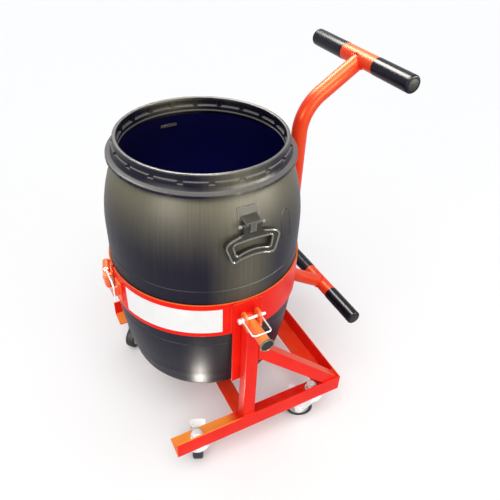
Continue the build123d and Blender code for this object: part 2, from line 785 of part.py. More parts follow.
def axle():
    grip_half = fork_inner_half + fork_wall
    shank = rod((0, -grip_half, 0), (0, grip_half, 0), axle_radius)
    head = rod((0, -grip_half - axle_head_length, 0), (0, -grip_half, 0), axle_head_radius)
    nut = rod((0, grip_half, 0), (0, grip_half + axle_head_length, 0), axle_head_radius)
    head = chamfer(head.edges().group_by(Axis.Y)[0], axle_head_length / 4)
    nut = chamfer(nut.edges().group_by(Axis.Y)[-1], axle_head_length / 4)
    return Pos(caster_trail, 0, wheel_radius) * (shank + head + nut)


def wheel_turned(outline):
    """Turn a closed outline of radius and width pairs about the wheel's axle."""
    face = make_face(Polyline(*outline, close=True))
    return Pos(caster_trail, 0, wheel_radius) * Rot(90, 0, 0) * revolve(Plane.XZ * face, Axis.Z)


def hub():
    bore = axle_radius + running_clearance
    rim_inner = hub_radius - hub_rim
    half = hub_width / 2
    rim_half = tyre_width / 2 - hub_rim / 2
    web_half = hub_web / 2
    upper = [
        (bore, half),
        (hub_boss_radius, half),
        (hub_boss_radius, web_half),
        (rim_inner, web_half),
        (rim_inner, rim_half),
        (hub_radius, rim_half),
    ]
    lower = [(radius, -width) for radius, width in reversed(upper)]
    return wheel_turned(upper + lower)


def tyre():
    inner = hub_radius + seat_gap
    half = tyre_width / 2
    outline = [(inner, -half), (wheel_radius, -half), (wheel_radius, half), (inner, half)]
    face = make_face(Polyline(*outline, close=True))
    face = fillet(face.vertices().group_by(Axis.X)[-1], tyre_round)
    return Pos(caster_trail, 0, wheel_radius) * Rot(90, 0, 0) * revolve(Plane.XZ * face, Axis.Z)


def placed(spot, angle, piece):
    x, y = caster_spots[spot]
    return Pos(x, y, 0) * Rot(0, 0, angle) * piece


def caster_group(make_piece):
    """One group of the same fixed piece at all the casters."""
    return Compound([placed(spot, 0, make_piece()) for spot in caster_spots])


nodes = {}


def add_node(name, piece):
    nodes[name] = Pos(-middle_x, 0, 0) * piece


def add_pair(name, piece):
    add_node(name + "_near", piece)
    add_node(name + "_far", far_side(piece))


add_pair("side_rail", side_rail())
add_node("rear_rail", rear_rail())
add_node("cross_bar", cross_bar())
add_pair("post", post())
add_pair("brace", brace())
add_pair("saddle", saddle())
add_pair("lock_pin", lock_pin())
add_pair("lock_bail", lock_bail())

add_node("barrel", barrel())
add_node("band", band())
add_pair("hanger", hanger())
add_pair("trunnion", trunnion())
add_pair("trunnion_plug", trunnion_plug())
add_node("label_plate", label_plate())

add_node("handle_tube", handle_tube())
for level, bar_x, bar_z in (("upper", upper_bar_x, upper_bar_z), ("lower", lower_bar_x, lower_bar_z)):
    add_node(level + "_bar", handle_bar(bar_x, bar_z))
    add_pair(level + "_grip", grip(bar_x, bar_z))

add_node("latch_base", latch_base())
add_node("latch_catch", latch_catch())
add_node("latch_lever", latch_lever())
add_node("latch_bail", latch_bail())

for name, piece in (("handle_clip", handle_clip()), ("drop_handle", drop_handle())):
    add_node(name + "_near", Rot(0, 0, barrel_turn) * piece)
    add_node(name + "_far", Rot(0, 0, barrel_turn) * far_side(piece))

add_node("kingpins", caster_group(kingpin))
add_node("kingpin_nuts", caster_group(kingpin_nut))
add_node("kingpin_washers", caster_group(kingpin_washer))
for spot, angle in trail_angles.items():
    add_node("fork_" + spot, placed(spot, angle, fork(spot in braked_spots)))
    add_node("axle_" + spot, placed(spot, angle, axle()))
    add_node("hub_" + spot, placed(spot, angle, hub()))
    add_node("tyre_" + spot, placed(spot, angle, tyre()))
for spot in braked_spots:
    add_node("brake_pedal_" + spot, placed(spot, trail_angles[spot], brake_pedal()))

os.makedirs("parts", exist_ok=True)
for name, piece in nodes.items():
    export_step(piece, os.path.join("parts", name + ".step"))
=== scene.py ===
# %% [markdown]
# Barrel cart, dressed for a studio picture.
# A black plastic mixing barrel sits in a painted steel band and tilts between two posts on a rail frame.
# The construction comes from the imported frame, which is fixed.
# Each cell adds one finish or one fine form to it.

# %% Load the frame
import json
import math
import random

import bmesh
import bpy
from mathutils import Matrix, Vector

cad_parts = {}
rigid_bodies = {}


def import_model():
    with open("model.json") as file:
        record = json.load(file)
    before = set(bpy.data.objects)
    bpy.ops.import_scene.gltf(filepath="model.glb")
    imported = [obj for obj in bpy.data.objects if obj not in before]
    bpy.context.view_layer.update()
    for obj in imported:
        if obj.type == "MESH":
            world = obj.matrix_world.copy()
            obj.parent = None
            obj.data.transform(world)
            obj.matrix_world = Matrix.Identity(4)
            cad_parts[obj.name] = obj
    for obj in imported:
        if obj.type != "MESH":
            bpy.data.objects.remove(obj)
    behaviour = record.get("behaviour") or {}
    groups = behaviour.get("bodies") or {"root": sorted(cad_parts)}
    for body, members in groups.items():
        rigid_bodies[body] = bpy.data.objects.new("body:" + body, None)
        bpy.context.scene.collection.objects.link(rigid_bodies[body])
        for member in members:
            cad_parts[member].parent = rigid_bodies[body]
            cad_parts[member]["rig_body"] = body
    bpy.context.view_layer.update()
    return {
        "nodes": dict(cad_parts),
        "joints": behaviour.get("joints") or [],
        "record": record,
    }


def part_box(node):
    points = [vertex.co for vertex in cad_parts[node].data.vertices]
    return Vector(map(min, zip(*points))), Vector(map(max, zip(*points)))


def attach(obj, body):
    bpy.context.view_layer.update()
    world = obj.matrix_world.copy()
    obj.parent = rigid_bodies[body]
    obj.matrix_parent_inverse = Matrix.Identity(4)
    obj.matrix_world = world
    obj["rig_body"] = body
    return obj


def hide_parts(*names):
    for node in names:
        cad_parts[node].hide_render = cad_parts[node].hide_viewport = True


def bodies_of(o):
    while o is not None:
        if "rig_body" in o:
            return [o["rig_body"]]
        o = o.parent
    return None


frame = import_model()
nodes = frame["nodes"]
print("nodes in the frame:", len(nodes))

# %% [markdown]
# Landmarks. Every fine form is placed from the frame itself, so it stays put if the frame is packed again.
# The barrel's upright axis is the natural reference: the camera, the welds and the moulded details use it.
# The joints give the other lines: where a wheel turns, where a caster swivels and where a handle hangs.

# %% Landmarks of the cart
barrel_low, barrel_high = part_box("barrel")
axis_x = (barrel_low.x + barrel_high.x) / 2
belly_radius = (barrel_high.x - barrel_low.x) / 2
barrel_bottom = barrel_low.z
joint_place = {joint["name"]: Vector(joint["pos_m"]) for joint in frame["joints"]}
joint_line = {joint["name"]: Vector(joint["axis"]).normalized() for joint in frame["joints"]}
node_slot = {item["node"]: item["material_slot"] for item in frame["record"]["subparts"]}
caster_spots = ("front_near", "rear_near", "front_far", "rear_far")
sides = {"near": -1, "far": 1}


def at(x, y, z):
    """A point given from the barrel's axis."""
    return Vector((axis_x + x, y, z))


print("barrel axis at x =", round(axis_x, 4), "radius", round(belly_radius, 4))

# %% [markdown]
# Camera. The picture was taken from the front near side, looking down into the barrel.
# Its place and turn were worked out from straight edges and circles of the cart, so they are plain values.
# A camera built from three axes keeps the small sideways lean that the photograph has.

# %% Camera
camera_offset = Vector((-0.39229, -0.93192, 1.29859))
camera_azimuth = math.radians(28.866)
camera_elevation = math.radians(38.544)
camera_roll = math.radians(2.570)
camera_lens = 37.19
camera_shift = (0.00504, 0.00458)


def put_in_scene(name, data):
    """A new object in the scene."""
    item = bpy.data.objects.new(name, data)
    bpy.context.scene.collection.objects.link(item)
    return item


level = math.cos(camera_elevation)
backward = Vector((
    -math.sin(camera_azimuth) * level,
    -math.cos(camera_azimuth) * level,
    math.sin(camera_elevation),
))
right = Vector((math.cos(camera_azimuth), -math.sin(camera_azimuth), 0))
upward = backward.cross(right)
leaned_right = right * math.cos(camera_roll) + upward * math.sin(camera_roll)
leaned_up = upward * math.cos(camera_roll) - right * math.sin(camera_roll)

camera = put_in_scene("camera", bpy.data.cameras.new("camera"))
camera.data.lens = camera_lens
camera.data.shift_x, camera.data.shift_y = camera_shift
turn = Matrix((leaned_right, leaned_up, backward)).transposed()
camera.matrix_world = Matrix.Translation(camera_offset + Vector((axis_x, 0, 0))) @ turn.to_4x4()
bpy.context.scene.camera = camera
print("camera at", [round(value, 3) for value in camera.location])

# %% [markdown]
# Small helpers for materials. A material is a graph of nodes, and most lines only join two sockets.
# wire() links a socket or sets its value, and add() makes a node with its settings and inputs in one step.
# The others name the few sums that masks are made of.

# %% Node helpers
def wire(tree, socket, value):
    """Link the value if it is a socket, and set it otherwise. A set colour is opaque."""
    if isinstance(value, bpy.types.NodeSocket):
        tree.links.new(value, socket)
    elif socket.type == "RGBA":
        socket.default_value = (*value, 1.0)
    else:
        socket.default_value = value


def add(tree, kind, feeds=None, **settings):
    """A new shader node with its settings, and its inputs fed by name or number."""
    node = tree.nodes.new("ShaderNode" + kind)
    for name, value in settings.items():
        setattr(node, name, value)
    for name, value in (feeds or {}).items():
        wire(tree, node.inputs[name], value)
    return node


def calc(tree, operation, first, second=0.0):
    """The result of one sum on two values."""
    return add(tree, "Math", {0: first, 1: second}, operation=operation).outputs[0]


def times(tree, first, *others):
    """The product of some values."""
    for other in others:
        first = calc(tree, "MULTIPLY", first, other)
    return first


def spread(tree, value, low, high, to_low=0.0, to_high=1.0):
    """A value stretched from one range to another, and held inside it."""
    feeds = {"Value": value, "From Min": low, "From Max": high, "To Min": to_low, "To Max": to_high}
    return add(tree, "MapRange", feeds).outputs["Result"]


def blend_colour(tree, factor, first, second):
    """A colour between two colours."""
    feeds = {"Factor": factor, "A": first, "B": second}
    return add(tree, "Mix", feeds, data_type="RGBA").outputs["Result"]


def own(tree, kind):
    """The x, y and z of the piece's own place (Object) or of its own facing (Normal)."""
    return add(tree, "SeparateXYZ", {0: add(tree, "TexCoord").outputs[kind]}).outputs


def bare_tree(owner):
    """The emptied node tree of a material or a world."""
    owner.use_nodes = True
    owner.node_tree.nodes.clear()
    return owner.node_tree


print("node helpers ready for", bpy.app.version_string)

# %% [markdown]
# Studio. The photograph has a white ground and soft light from above and from the camera's side.
# The floor is a plain pale surface that the lamps light, so it keeps the cart's shadow.
# The world is white where the camera and shiny surfaces look.
# It is dimmer as a lamp, so dark plastic stays dark.

# %% World and floor
white = (1.0, 1.0, 1.0)
fill_tint = (0.94, 0.96, 1.0)
fill_strength = 0.55
floor_size = 60.0
floor_tone = (0.95, 0.95, 0.95)

bpy.context.scene.world = bpy.data.worlds.new("studio")
sky = bare_tree(bpy.context.scene.world)
ray = add(sky, "LightPath").outputs
shiny = calc(sky, "MAXIMUM", ray["Is Glossy Ray"], ray["Is Transmission Ray"])
seen = calc(sky, "MAXIMUM", ray["Is Camera Ray"], shiny)
fill = add(sky, "Background", {"Color": fill_tint, "Strength": fill_strength})
ground_white = add(sky, "Background", {"Color": white, "Strength": 1.0})
sky_mix = add(sky, "MixShader", {0: seen, 1: fill.outputs[0], 2: ground_white.outputs[0]})
add(sky, "OutputWorld", {"Surface": sky_mix.outputs[0]})

floor_finish = bpy.data.materials.new("pale_floor")
floor_tree = bare_tree(floor_finish)
matt = add(floor_tree, "BsdfDiffuse", {"Color": floor_tone})
add(floor_tree, "OutputMaterial", {"Surface": matt.outputs[0]})

floor_mesh = bpy.data.meshes.new("floor")
half_floor = floor_size / 2
floor_corners = [(x * half_floor, y * half_floor, 0) for x, y in ((-1, -1), (1, -1), (1, 1), (-1, 1))]
floor_mesh.from_pydata(floor_corners, [], [(0, 1, 2, 3)])
floor_mesh.materials.append(floor_finish)
floor = put_in_scene("floor", floor_mesh)
bpy.context.scene.view_settings.view_transform = "Standard"
print("floor", floor_size, "m wide, world fill", fill_strength)

# %% [markdown]
# Lamps. A wide even light from above, on the camera's side, whitens the floor and lays the soft shadow.
# Two soft boxes above the cart, one in front and one on the near side, draw the barrel's two pale lobes.
# Each box is paired with a glint lamp that only gloss shows,
# because black plastic needs far brighter lamps than paint.
# Three more glint lamps, above, behind and to the rear side, lay the sheen on tubes and grips,
# and a small one low beside the rail makes the glint on the barrel's foot.

# %% Lamps
warm = (1.0, 0.95, 0.84)
daylight = (1.0, 0.99, 0.97)
daylight_power = 1.8
daylight_spread = math.radians(52)
box_size = 0.85
box_power = 4.0
glint_size = 0.70
glint_power = 90.0
foot_glint_size = 0.045
foot_glint_power = 0.4


def place_lamp(kind, name, place, target, power, tint):
    """A lamp at a place, facing a target and out of the camera's sight."""
    data = bpy.data.lights.new(name, kind)
    data.energy = power
    data.color = tint
    lamp = put_in_scene(name, data)
    lamp.location = place
    lamp.rotation_euler = (target - place).to_track_quat("-Z", "Y").to_euler()
    lamp.visible_camera = False
    return lamp


def soft_box(name, place, target, width, power, gloss_only=True):
    """A square area lamp, which only gloss shows unless told otherwise."""
    lamp = place_lamp("AREA", name, place, target, power, warm)
    lamp.data.size = width
    lamp.visible_diffuse = not gloss_only


overhead = place_lamp("SUN", "overhead_light", at(-0.5, -0.9, 2.2), at(0, 0, 0.2), daylight_power, daylight)
overhead.data.angle = daylight_spread
for box_name, place in {"front": at(-1.75, -0.97, 1.20), "near_side": at(0.66, -1.89, 1.20)}.items():
    soft_box(box_name + "_box", place, at(0, 0, 0.70), box_size, box_power, gloss_only=False)
    soft_box(box_name + "_glint", place, at(0, 0, 0.70), box_size, glint_power)
glint_places = {
    "rear_top": at(0.15, 0.85, 2.0), "overhead": at(0.0, -0.70, 2.2), "rear_side": at(1.50, -1.30, 1.20),
}
for glint_name, place in glint_places.items():
    soft_box(glint_name + "_glint", place, at(0, 0, 0.40), glint_size, glint_power)
foot_spot = at(-0.095, -0.179, 0.263)
soft_box("foot_glint", at(-0.120, -0.206, 0.125), foot_spot, foot_glint_size, foot_glint_power)

# %% [markdown]
# Shared surface effects. Paint, plastic and zinc all have a fine grain, and their edges are painted paler,
# partly as wear and partly as a painted highlight.
# Each effect is a node group with named sockets, so a material only sets how much of it there is.
# The masks read the piece's own normal, so they stay on the piece when it tilts or swings.
# One of them paints a tint on the faces that look up, mostly a painted highlight where the light from above
# falls.

# %% Effect groups
def effect_group(name, inputs, outputs):
    """A node group with number inputs and number outputs, and the sockets of its two ends."""
    group = bpy.data.node_groups.new(name, "ShaderNodeTree")
    for socket_name, value in inputs.items():
        socket = group.interface.new_socket(socket_name, in_out="INPUT", socket_type="NodeSocketFloat")
        socket.default_value = value
    for socket_name in outputs:
        group.interface.new_socket(socket_name, in_out="OUTPUT", socket_type="NodeSocketFloat")
    start = group.nodes.new("NodeGroupInput")
    end = group.nodes.new("NodeGroupOutput")
    return group, start.outputs, end.inputs


def place_noise(tree, scale, detail):
    """Noise fixed to the piece's own place."""
    feeds = {"Vector": add(tree, "TexCoord").outputs["Object"], "Scale": scale, "Detail": detail}
    return add(tree, "TexNoise", feeds).outputs["Fac"]


grain, grain_in, grain_out = effect_group(
    "surface_grain", {"Scale": 600.0, "Blotch Scale": 9.0}, ("Height", "Blotch"))
wire(grain, grain_out["Height"], place_noise(grain, grain_in["Scale"], 2.0))
wire(grain, grain_out["Blotch"], spread(grain, place_noise(grain, grain_in["Blotch Scale"], 5.0), 0.3, 0.7))

# Paler edges: partly wear, partly a painted highlight where edges catch the light.
worn_lit_edges, edge_in, edge_out = effect_group("worn_and_lit_edges", {"Width": 0.0012, "Amount": 0.5}, ("Mask",))
rounded = add(worn_lit_edges, "Bevel", {"Radius": edge_in["Width"]}, samples=4).outputs["Normal"]
flat = add(worn_lit_edges, "NewGeometry").outputs["Normal"]
facing = add(worn_lit_edges, "VectorMath", {0: rounded, 1: flat}, operation="DOT_PRODUCT").outputs["Value"]
turned_away = spread(worn_lit_edges, calc(worn_lit_edges, "SUBTRACT", 1.0, facing), 0.02, 0.25)
broken = spread(worn_lit_edges, place_noise(worn_lit_edges, 120.0, 4.0), 0.35, 0.65, 0.3, 1.0)
wire(worn_lit_edges, edge_out["Mask"], times(worn_lit_edges, turned_away, broken, edge_in["Amount"]))

dust, dust_in, dust_out = effect_group("settled_dust", {"Amount": 0.2}, ("Mask",))
patches = spread(dust, place_noise(dust, 26.0, 6.0), 0.42, 0.68)
settled = spread(dust, own(dust, "Normal")["Z"], 0.35, 0.95)
wire(dust, dust_out["Mask"], times(dust, settled, patches, dust_in["Amount"]))

# A painted tint on faces that look up, where the light from above falls: mostly a painted highlight, darker
# on the clips' tops.
top_light, top_light_in, top_light_out = effect_group("top_light_painted", {"Amount": 0.6, "Start": 0.1, "End": 0.9}, ("Mask",))
uneven = spread(top_light, place_noise(top_light, 7.0, 3.0), 0.3, 0.7, 0.75, 1.0)
raised = spread(top_light, own(top_light, "Normal")["Z"], top_light_in["Start"], top_light_in["End"])
wire(top_light, top_light_out["Mask"], times(top_light, raised, uneven, top_light_in["Amount"]))
print("effect groups:", [group.name for group in bpy.data.node_groups])

# %% [markdown]
# Finishes. Each one is a Principled surface with its own colours.
# It takes grain, edges and dust from the groups.
# The numbers that are the same all over a surface are set on the shader itself.

# %% Finish helpers
skin_depth = 0.0003


def effect(tree, group, **values):
    """One of the shared effects placed in a material, with its own values."""
    node = tree.nodes.new("ShaderNodeGroup")
    node.node_tree = group
    for name, value in values.items():
        node.inputs[name.replace("_", " ")].default_value = value
    return node.outputs


def lay_on(tree, colour, group, over, **values):
    """A colour with another laid over it by the mask of an effect."""
    return blend_colour(tree, effect(tree, group, **values)["Mask"], colour, over)


def finish(name, constants):
    """A new material with a Principled shader, and the shader's inputs."""
    material = bpy.data.materials.new(name)
    tree = bare_tree(material)
    shader = add(tree, "BsdfPrincipled", constants)
    add(tree, "OutputMaterial", {"Surface": shader.outputs[0]})
    return material, tree, shader.inputs


def gloss(level, tint=white):
    """How strongly a surface mirrors, and the tint of what it mirrors."""
    return {"Specular IOR Level": level, "Specular Tint": tint}


def cover(tree, shader, colour, rough, height, strength, depth=skin_depth):
    """Feed a shader its colour, its roughness and the relief of its skin."""
    wire(tree, shader["Base Color"], colour)
    wire(tree, shader["Roughness"], rough)
    feeds = {"Height": height, "Strength": strength, "Distance": depth}
    wire(tree, shader["Normal"], add(tree, "Bump", feeds).outputs["Normal"])


print("finish helpers ready, skin depth", skin_depth)

# %% [markdown]
# Red paint. The frame, the band and the handle are sprayed with one glossy orange-red coat.
# It is painted a little paler on edges, partly where it pulls thin and partly as a painted highlight, and has
# a soft orange-peel skin.
# A thick coat of red tints what it mirrors, so the sprayed gloss is orange,
# and paler where use has polished it.
# Faces that look up get a painted orange highlight where the light from above falls: faintly on most parts,
# more on the band and the braces, and most on the rails in front of the posts and up the top of the handle.
# The handle's tones are a touch more orange as a painted sheen.
# The latch, the saddles and the trunnions are orange, partly from wear where pins rub and partly as a painted
# sheen, with a strong painted highlight on their tops.

# %% Red paint
deep_red = (0.80, 0.008, 0.005)
warm_red = (0.88, 0.018, 0.008)
highlight_orange = (1.0, 0.330, 0.050)
handle_red = (0.84, 0.026, 0.009)
# Tones of the handle: a touch more orange, as a painted sheen.
handle_lit_orange = (0.88, 0.062, 0.012)
# Pin-worn parts: orange partly from wear and partly as a painted sheen.
worn_lit_red = (0.80, 0.065, 0.016)
worn_lit_orange = (0.90, 0.220, 0.050)
thin_lit_edge = (1.0, 0.20, 0.09)
paint_dust = (0.62, 0.34, 0.24)
peel_depth = 0.0004
sprayed_gloss = gloss(0.09, (1.0, 0.45, 0.16))
polished_gloss = gloss(0.30, (1.0, 0.55, 0.25))
rubbed_gloss = gloss(0.45, (1.0, 0.85, 0.65))


def red_paint(name, constants, rough, shade, light, top_amount, highlight_span=None):
    """Red paint with a painted orange highlight on its tops, all along or only from one place on along an
    axis.
    """
    material, tree, shader = finish(name, constants)
    skin = effect(tree, grain, Scale=260.0, Blotch_Scale=11.0)
    colour = blend_colour(tree, skin["Blotch"], shade, light)
    # The painted highlight on faces that look up.
    tops = effect(tree, top_light, Amount=top_amount, Start=0.6, End=1.0)["Mask"]
    if highlight_span:
        axis, start, end = highlight_span
        tops = times(tree, tops, spread(tree, own(tree, "Object")[axis], start, end))
    colour = blend_colour(tree, tops, colour, highlight_orange)
    colour = lay_on(tree, colour, worn_lit_edges, thin_lit_edge, Width=0.0016, Amount=0.5)
    colour = lay_on(tree, colour, dust, paint_dust, Amount=0.08)
    sheen = spread(tree, skin["Blotch"], 0.0, 1.0, rough, rough + 0.05)
    cover(tree, shader, colour, sheen, skin["Height"], 0.025, peel_depth)
    return material


# The rails get their painted top highlight only in front of the posts, the handle only up its top.
rail_front = ("X", at(-0.016, 0, 0).x, at(-0.046, 0, 0).x)
handle_top = ("Z", 0.55, 0.85)
sprayed = (sprayed_gloss, 0.29, deep_red, warm_red)
polished = (polished_gloss, 0.36, handle_red, handle_lit_orange)
worn_lit = (rubbed_gloss, 0.30, worn_lit_red, worn_lit_orange)
paint = red_paint("red_paint", *sprayed, 0.10)
top_lit_paint = red_paint("top_lit_paint", *sprayed, 0.55)
rail_paint = red_paint("rail_paint", *sprayed, 1.0, rail_front)
handle_paint = red_paint("handle_paint", *polished, 0.62, handle_top)
worn_lit_paint = red_paint("worn_lit_paint", *worn_lit, 0.7)
print("paints:", [coat.name for coat in (paint, top_lit_paint, rail_paint, handle_paint, worn_lit_paint)])

# %% [markdown]
# Black plastic. The barrel is blow moulded, so its skin is satin with faint upright streaks from the mould.
# The streaks turn with the barrel: the angle round its axis is one pattern direction, the height the other.
# The shoulder gets a painted sheen, paler the higher it is, which a height mask lays on smoothly, with a
# painted shadow just under the collar.
# The wall round the drop handles gets a painted sheen as well, and the inside, which lies in shade, is
# painted the deep navy of that shade.

# %% Masks of the barrel
sheen_start = 0.60
sheen_end = 0.775
inner_reach = 0.186
handle_sheen_reach = 0.085
handle_sheen_low = 0.21
handle_sheen_high = 0.66
handle_sheen_most = 0.66


def upright_streaks(tree, x, y, z):
    """Noise that runs in thin upright lines round the barrel."""
    feeds = {"X": calc(tree, "ARCTAN2", y, x), "Z": times(tree, z, 0.12)}
    spot = add(tree, "CombineXYZ", feeds).outputs[0]
    return add(tree, "TexNoise", {"Vector": spot, "Scale": 46.0, "Detail": 4.0}).outputs["Fac"]


def shoulder_sheen(tree, x, y, z):
    """Mask of the painted sheen on the outer shoulder, from nothing at the belly to full near the collar, cut
    back by a painted shadow just under it.
    """
    rise = calc(tree, "POWER", spread(tree, z, sheen_start, sheen_end), 2.0)
    # A painted shadow under the collar's overhang.
    collar_shadow = spread(tree, z, sheen_end - 0.012, sheen_end - 0.004, 1.0, 0.12)
    below_collar = calc(tree, "LESS_THAN", z, sheen_end)
    reach = calc(tree, "SQRT", calc(tree, "ADD", calc(tree, "POWER", x, 2.0), calc(tree, "POWER", y, 2.0)))
    outside_only = calc(tree, "GREATER_THAN", reach, inner_reach)
    facing_out = spread(tree, own(tree, "Normal")["Z"], -0.05, 0.02)
    return times(tree, rise, collar_shadow, below_collar, facing_out, outside_only)


def handle_sheen_mask(tree, x, z):
    """Mask of the painted sheen on the wall round the two drop handles."""
    beside = spread(tree, calc(tree, "ABSOLUTE", x), handle_sheen_reach, 0.01)
    return times(tree, beside, spread(tree, z, handle_sheen_low, handle_sheen_high, 0.0, handle_sheen_most))


def facing_axis(tree, x, y):
    """Mask of the inside, where the surface faces the barrel's axis."""
    normal = own(tree, "Normal")
    outward_share = calc(tree, "ADD", times(tree, normal["X"], x), times(tree, normal["Y"], y))
    return spread(tree, outward_share, -0.02, -0.10)


print("chalk from", sheen_start, "to", sheen_end, "m up the barrel")

# %% [markdown]
# Barrel plastic. The masks are laid over the black one by one: first the mould's own tone, then the painted
# sheen round the handles, the painted navy shade inside, the painted sheen on the shoulder, the edges paled
# by scuffs and a painted highlight, the dust, partly a painted highlight on tops, and last the painted
# highlight on the neck's tops.

# %% Barrel plastic
plastic_black = (0.0032, 0.0028, 0.0150)
plastic_grey = (0.0070, 0.0062, 0.0150)
# The inside is painted the navy of its shade.
inner_shade_navy = (0.0025, 0.0025, 0.0800)
# Dust colour, also used for a painted highlight on the barrel's tops.
dust_and_sheen_grey = (0.10, 0.095, 0.085)
scuff_and_highlight_grey = (0.140, 0.132, 0.115)
# A painted highlight for the neck's tops.
rim_highlight = (0.190, 0.185, 0.178)
# The painted sheen of the shoulder and of the wall round the handles.
sheen_grey = (0.198, 0.180, 0.118)


def barrel_finish(name):
    """The barrel's plastic, from its plain skin to the wear on top of it."""
    material, tree, shader = finish(name, gloss(0.13))
    place = own(tree, "Object")
    x, y, z = calc(tree, "SUBTRACT", place["X"], axis_x), place["Y"], place["Z"]
    skin = effect(tree, grain, Scale=900.0, Blotch_Scale=6.0)
    lines = upright_streaks(tree, x, y, z)
    neck = spread(tree, z, sheen_end, sheen_end + 0.003)
    tone = times(tree, skin["Blotch"], spread(tree, lines, 0.35, 0.65))
    # The painted sheen round the drop handles.
    handle_sheen = times(tree, handle_sheen_mask(tree, x, z), spread(tree, lines, 0.3, 0.7, 0.75, 1.0))
    # The painted navy of the shaded inside.
    inside_body = times(tree, facing_axis(tree, x, y), calc(tree, "SUBTRACT", 1.0, neck))
    painted_sheen = times(tree, shoulder_sheen(tree, x, y, z), spread(tree, lines, 0.3, 0.7, 0.80, 1.0))
    # A painted highlight on the neck's faces that look up.
    neck_highlight = times(tree, effect(tree, top_light, Amount=0.9, Start=0.45, End=0.95)["Mask"], neck)
    colour = blend_colour(tree, tone, plastic_black, plastic_grey)
    colour = blend_colour(tree, handle_sheen, colour, sheen_grey)
    colour = blend_colour(tree, inside_body, colour, inner_shade_navy)
    colour = blend_colour(tree, painted_sheen, colour, sheen_grey)
    # Edges paled by scuffs and by a painted highlight.
    colour = lay_on(tree, colour, worn_lit_edges, scuff_and_highlight_grey, Width=0.0018, Amount=0.8)
    # Dust and a painted highlight on the faces that look up.
    colour = lay_on(tree, colour, top_light, dust_and_sheen_grey, Amount=0.5, Start=0.7, End=1.0)
    colour = lay_on(tree, colour, dust, dust_and_sheen_grey, Amount=0.10)
    colour = blend_colour(tree, neck_highlight, colour, rim_highlight)
    satin = calc(tree, "SUBTRACT", spread(tree, lines, 0.3, 0.7, 0.39, 0.47), times(tree, neck, 0.09))
    cover(tree, shader, colour, satin, skin["Height"], 0.10)
    return material


barrel_plastic = barrel_finish("barrel_plastic")
print("barrel finish:", barrel_plastic.name)

# %% [markdown]
# Small finishes. Grips are dipped in glossy soft plastic, the pins and casters are bright zinc,
# the tyres are plain rubber, and the label is plain white film.
# They share one recipe: two close colours, a roughness that wanders, a grain, and, where it helps, edges
# painted paler, partly as a painted highlight, and tops given a painted tint with some dust over it; the
# tyres' tops get a painted highlight.

# %% Small finishes
def plain_finish(name, constants, colours, rough, fineness, bump, edges=None, tops=None, edge_width=0.0010):
    """A finish whose colour and roughness wander between two values."""
    material, tree, shader = finish(name, constants)
    skin = effect(tree, grain, Scale=fineness, Blotch_Scale=18.0)
    colour = blend_colour(tree, skin["Blotch"], *colours)
    # A painted tint on faces that look up, with dust over it.
    if tops:
        colour = lay_on(tree, colour, top_light, tops, Amount=0.6, Start=0.0, End=0.8)
        colour = lay_on(tree, colour, dust, dust_and_sheen_grey, Amount=0.15)
    # Edges paled, partly as wear and partly as a painted highlight.
    if edges:
        colour = lay_on(tree, colour, worn_lit_edges, edges, Width=edge_width, Amount=0.6)
    cover(tree, shader, colour, spread(tree, skin["Blotch"], 0.0, 1.0, *rough), skin["Height"], bump)
    return material


slot_finish = {
    "red_paint": paint,
    "black_plastic": plain_finish(
        "moulded_plastic", gloss(0.2), ((0.020, 0.019, 0.016), (0.040, 0.037, 0.030)),
        (0.24, 0.32), 700.0, 0.06, edges=(0.30, 0.28, 0.23)),
    "grip_plastic": plain_finish(
        "grip_plastic", gloss(0.15), ((0.003, 0.003, 0.012), (0.007, 0.007, 0.017)),
        (0.25, 0.30), 500.0, 0.004),
    "zinc_steel": plain_finish(
        "zinc_steel", {"Metallic": 0.30}, ((0.74, 0.75, 0.76), (0.90, 0.91, 0.92)),
        (0.24, 0.38), 350.0, 0.08, edges=(0.97, 0.97, 0.97)),
    # The tyre's tops are painted lighter, a painted highlight.
    "tyre_rubber": plain_finish(
        "tyre_rubber", gloss(0.35), ((0.006, 0.006, 0.010), (0.014, 0.014, 0.018)),
        (0.46, 0.62), 700.0, 0.2, tops=(0.05, 0.048, 0.045)),
    "hub_plastic": plain_finish(
        "hub_plastic", gloss(0.5), ((0.46, 0.46, 0.45), (0.60, 0.60, 0.58)),
        (0.30, 0.42), 500.0, 0.08, edges=(0.75, 0.75, 0.73)),
    "plug_plastic": plain_finish(
        "plug_plastic", gloss(0.15), ((0.010, 0.011, 0.008), (0.030, 0.031, 0.022)),
        (0.42, 0.54), 600.0, 0.15, edges=(0.34, 0.31, 0.24)),
    "label_film": plain_finish(
        "label_film", {"Coat Weight": 0.3, "Coat Roughness": 0.08}, ((0.78, 0.78, 0.78), (0.84, 0.84, 0.835)),
        (0.28, 0.36), 90.0, 0.03, edges=(0.72, 0.70, 0.66)),
}
pin_steel = plain_finish(
    "pin_steel", gloss(0.3), ((0.16, 0.157, 0.15), (0.26, 0.255, 0.24)), (0.50, 0.60), 350.0, 0.08)
# Pale lips, a painted highlight along the raised lips.
lip_highlight_plastic = plain_finish(
    "lip_highlight_plastic", gloss(0.9), ((0.10, 0.095, 0.080), (0.17, 0.16, 0.135)), (0.14, 0.20), 700.0, 0.05)
# Pale olive as a painted sheen, with painted highlights on its edges and painted darker tops.
clip_sheen_plastic = plain_finish(
    "clip_sheen_plastic", gloss(0.3), ((0.085, 0.079, 0.062), (0.115, 0.107, 0.084)),
    (0.26, 0.34), 700.0, 0.06, edges=(0.60, 0.57, 0.47), tops=(0.010, 0.009, 0.009), edge_width=0.0026)
plug_rim_steel = plain_finish(
    "plug_rim_steel", gloss(0.4), ((0.07, 0.063, 0.048), (0.22, 0.20, 0.155)), (0.28, 0.40), 350.0, 0.1)
print("finishes:", sorted(slot_finish))

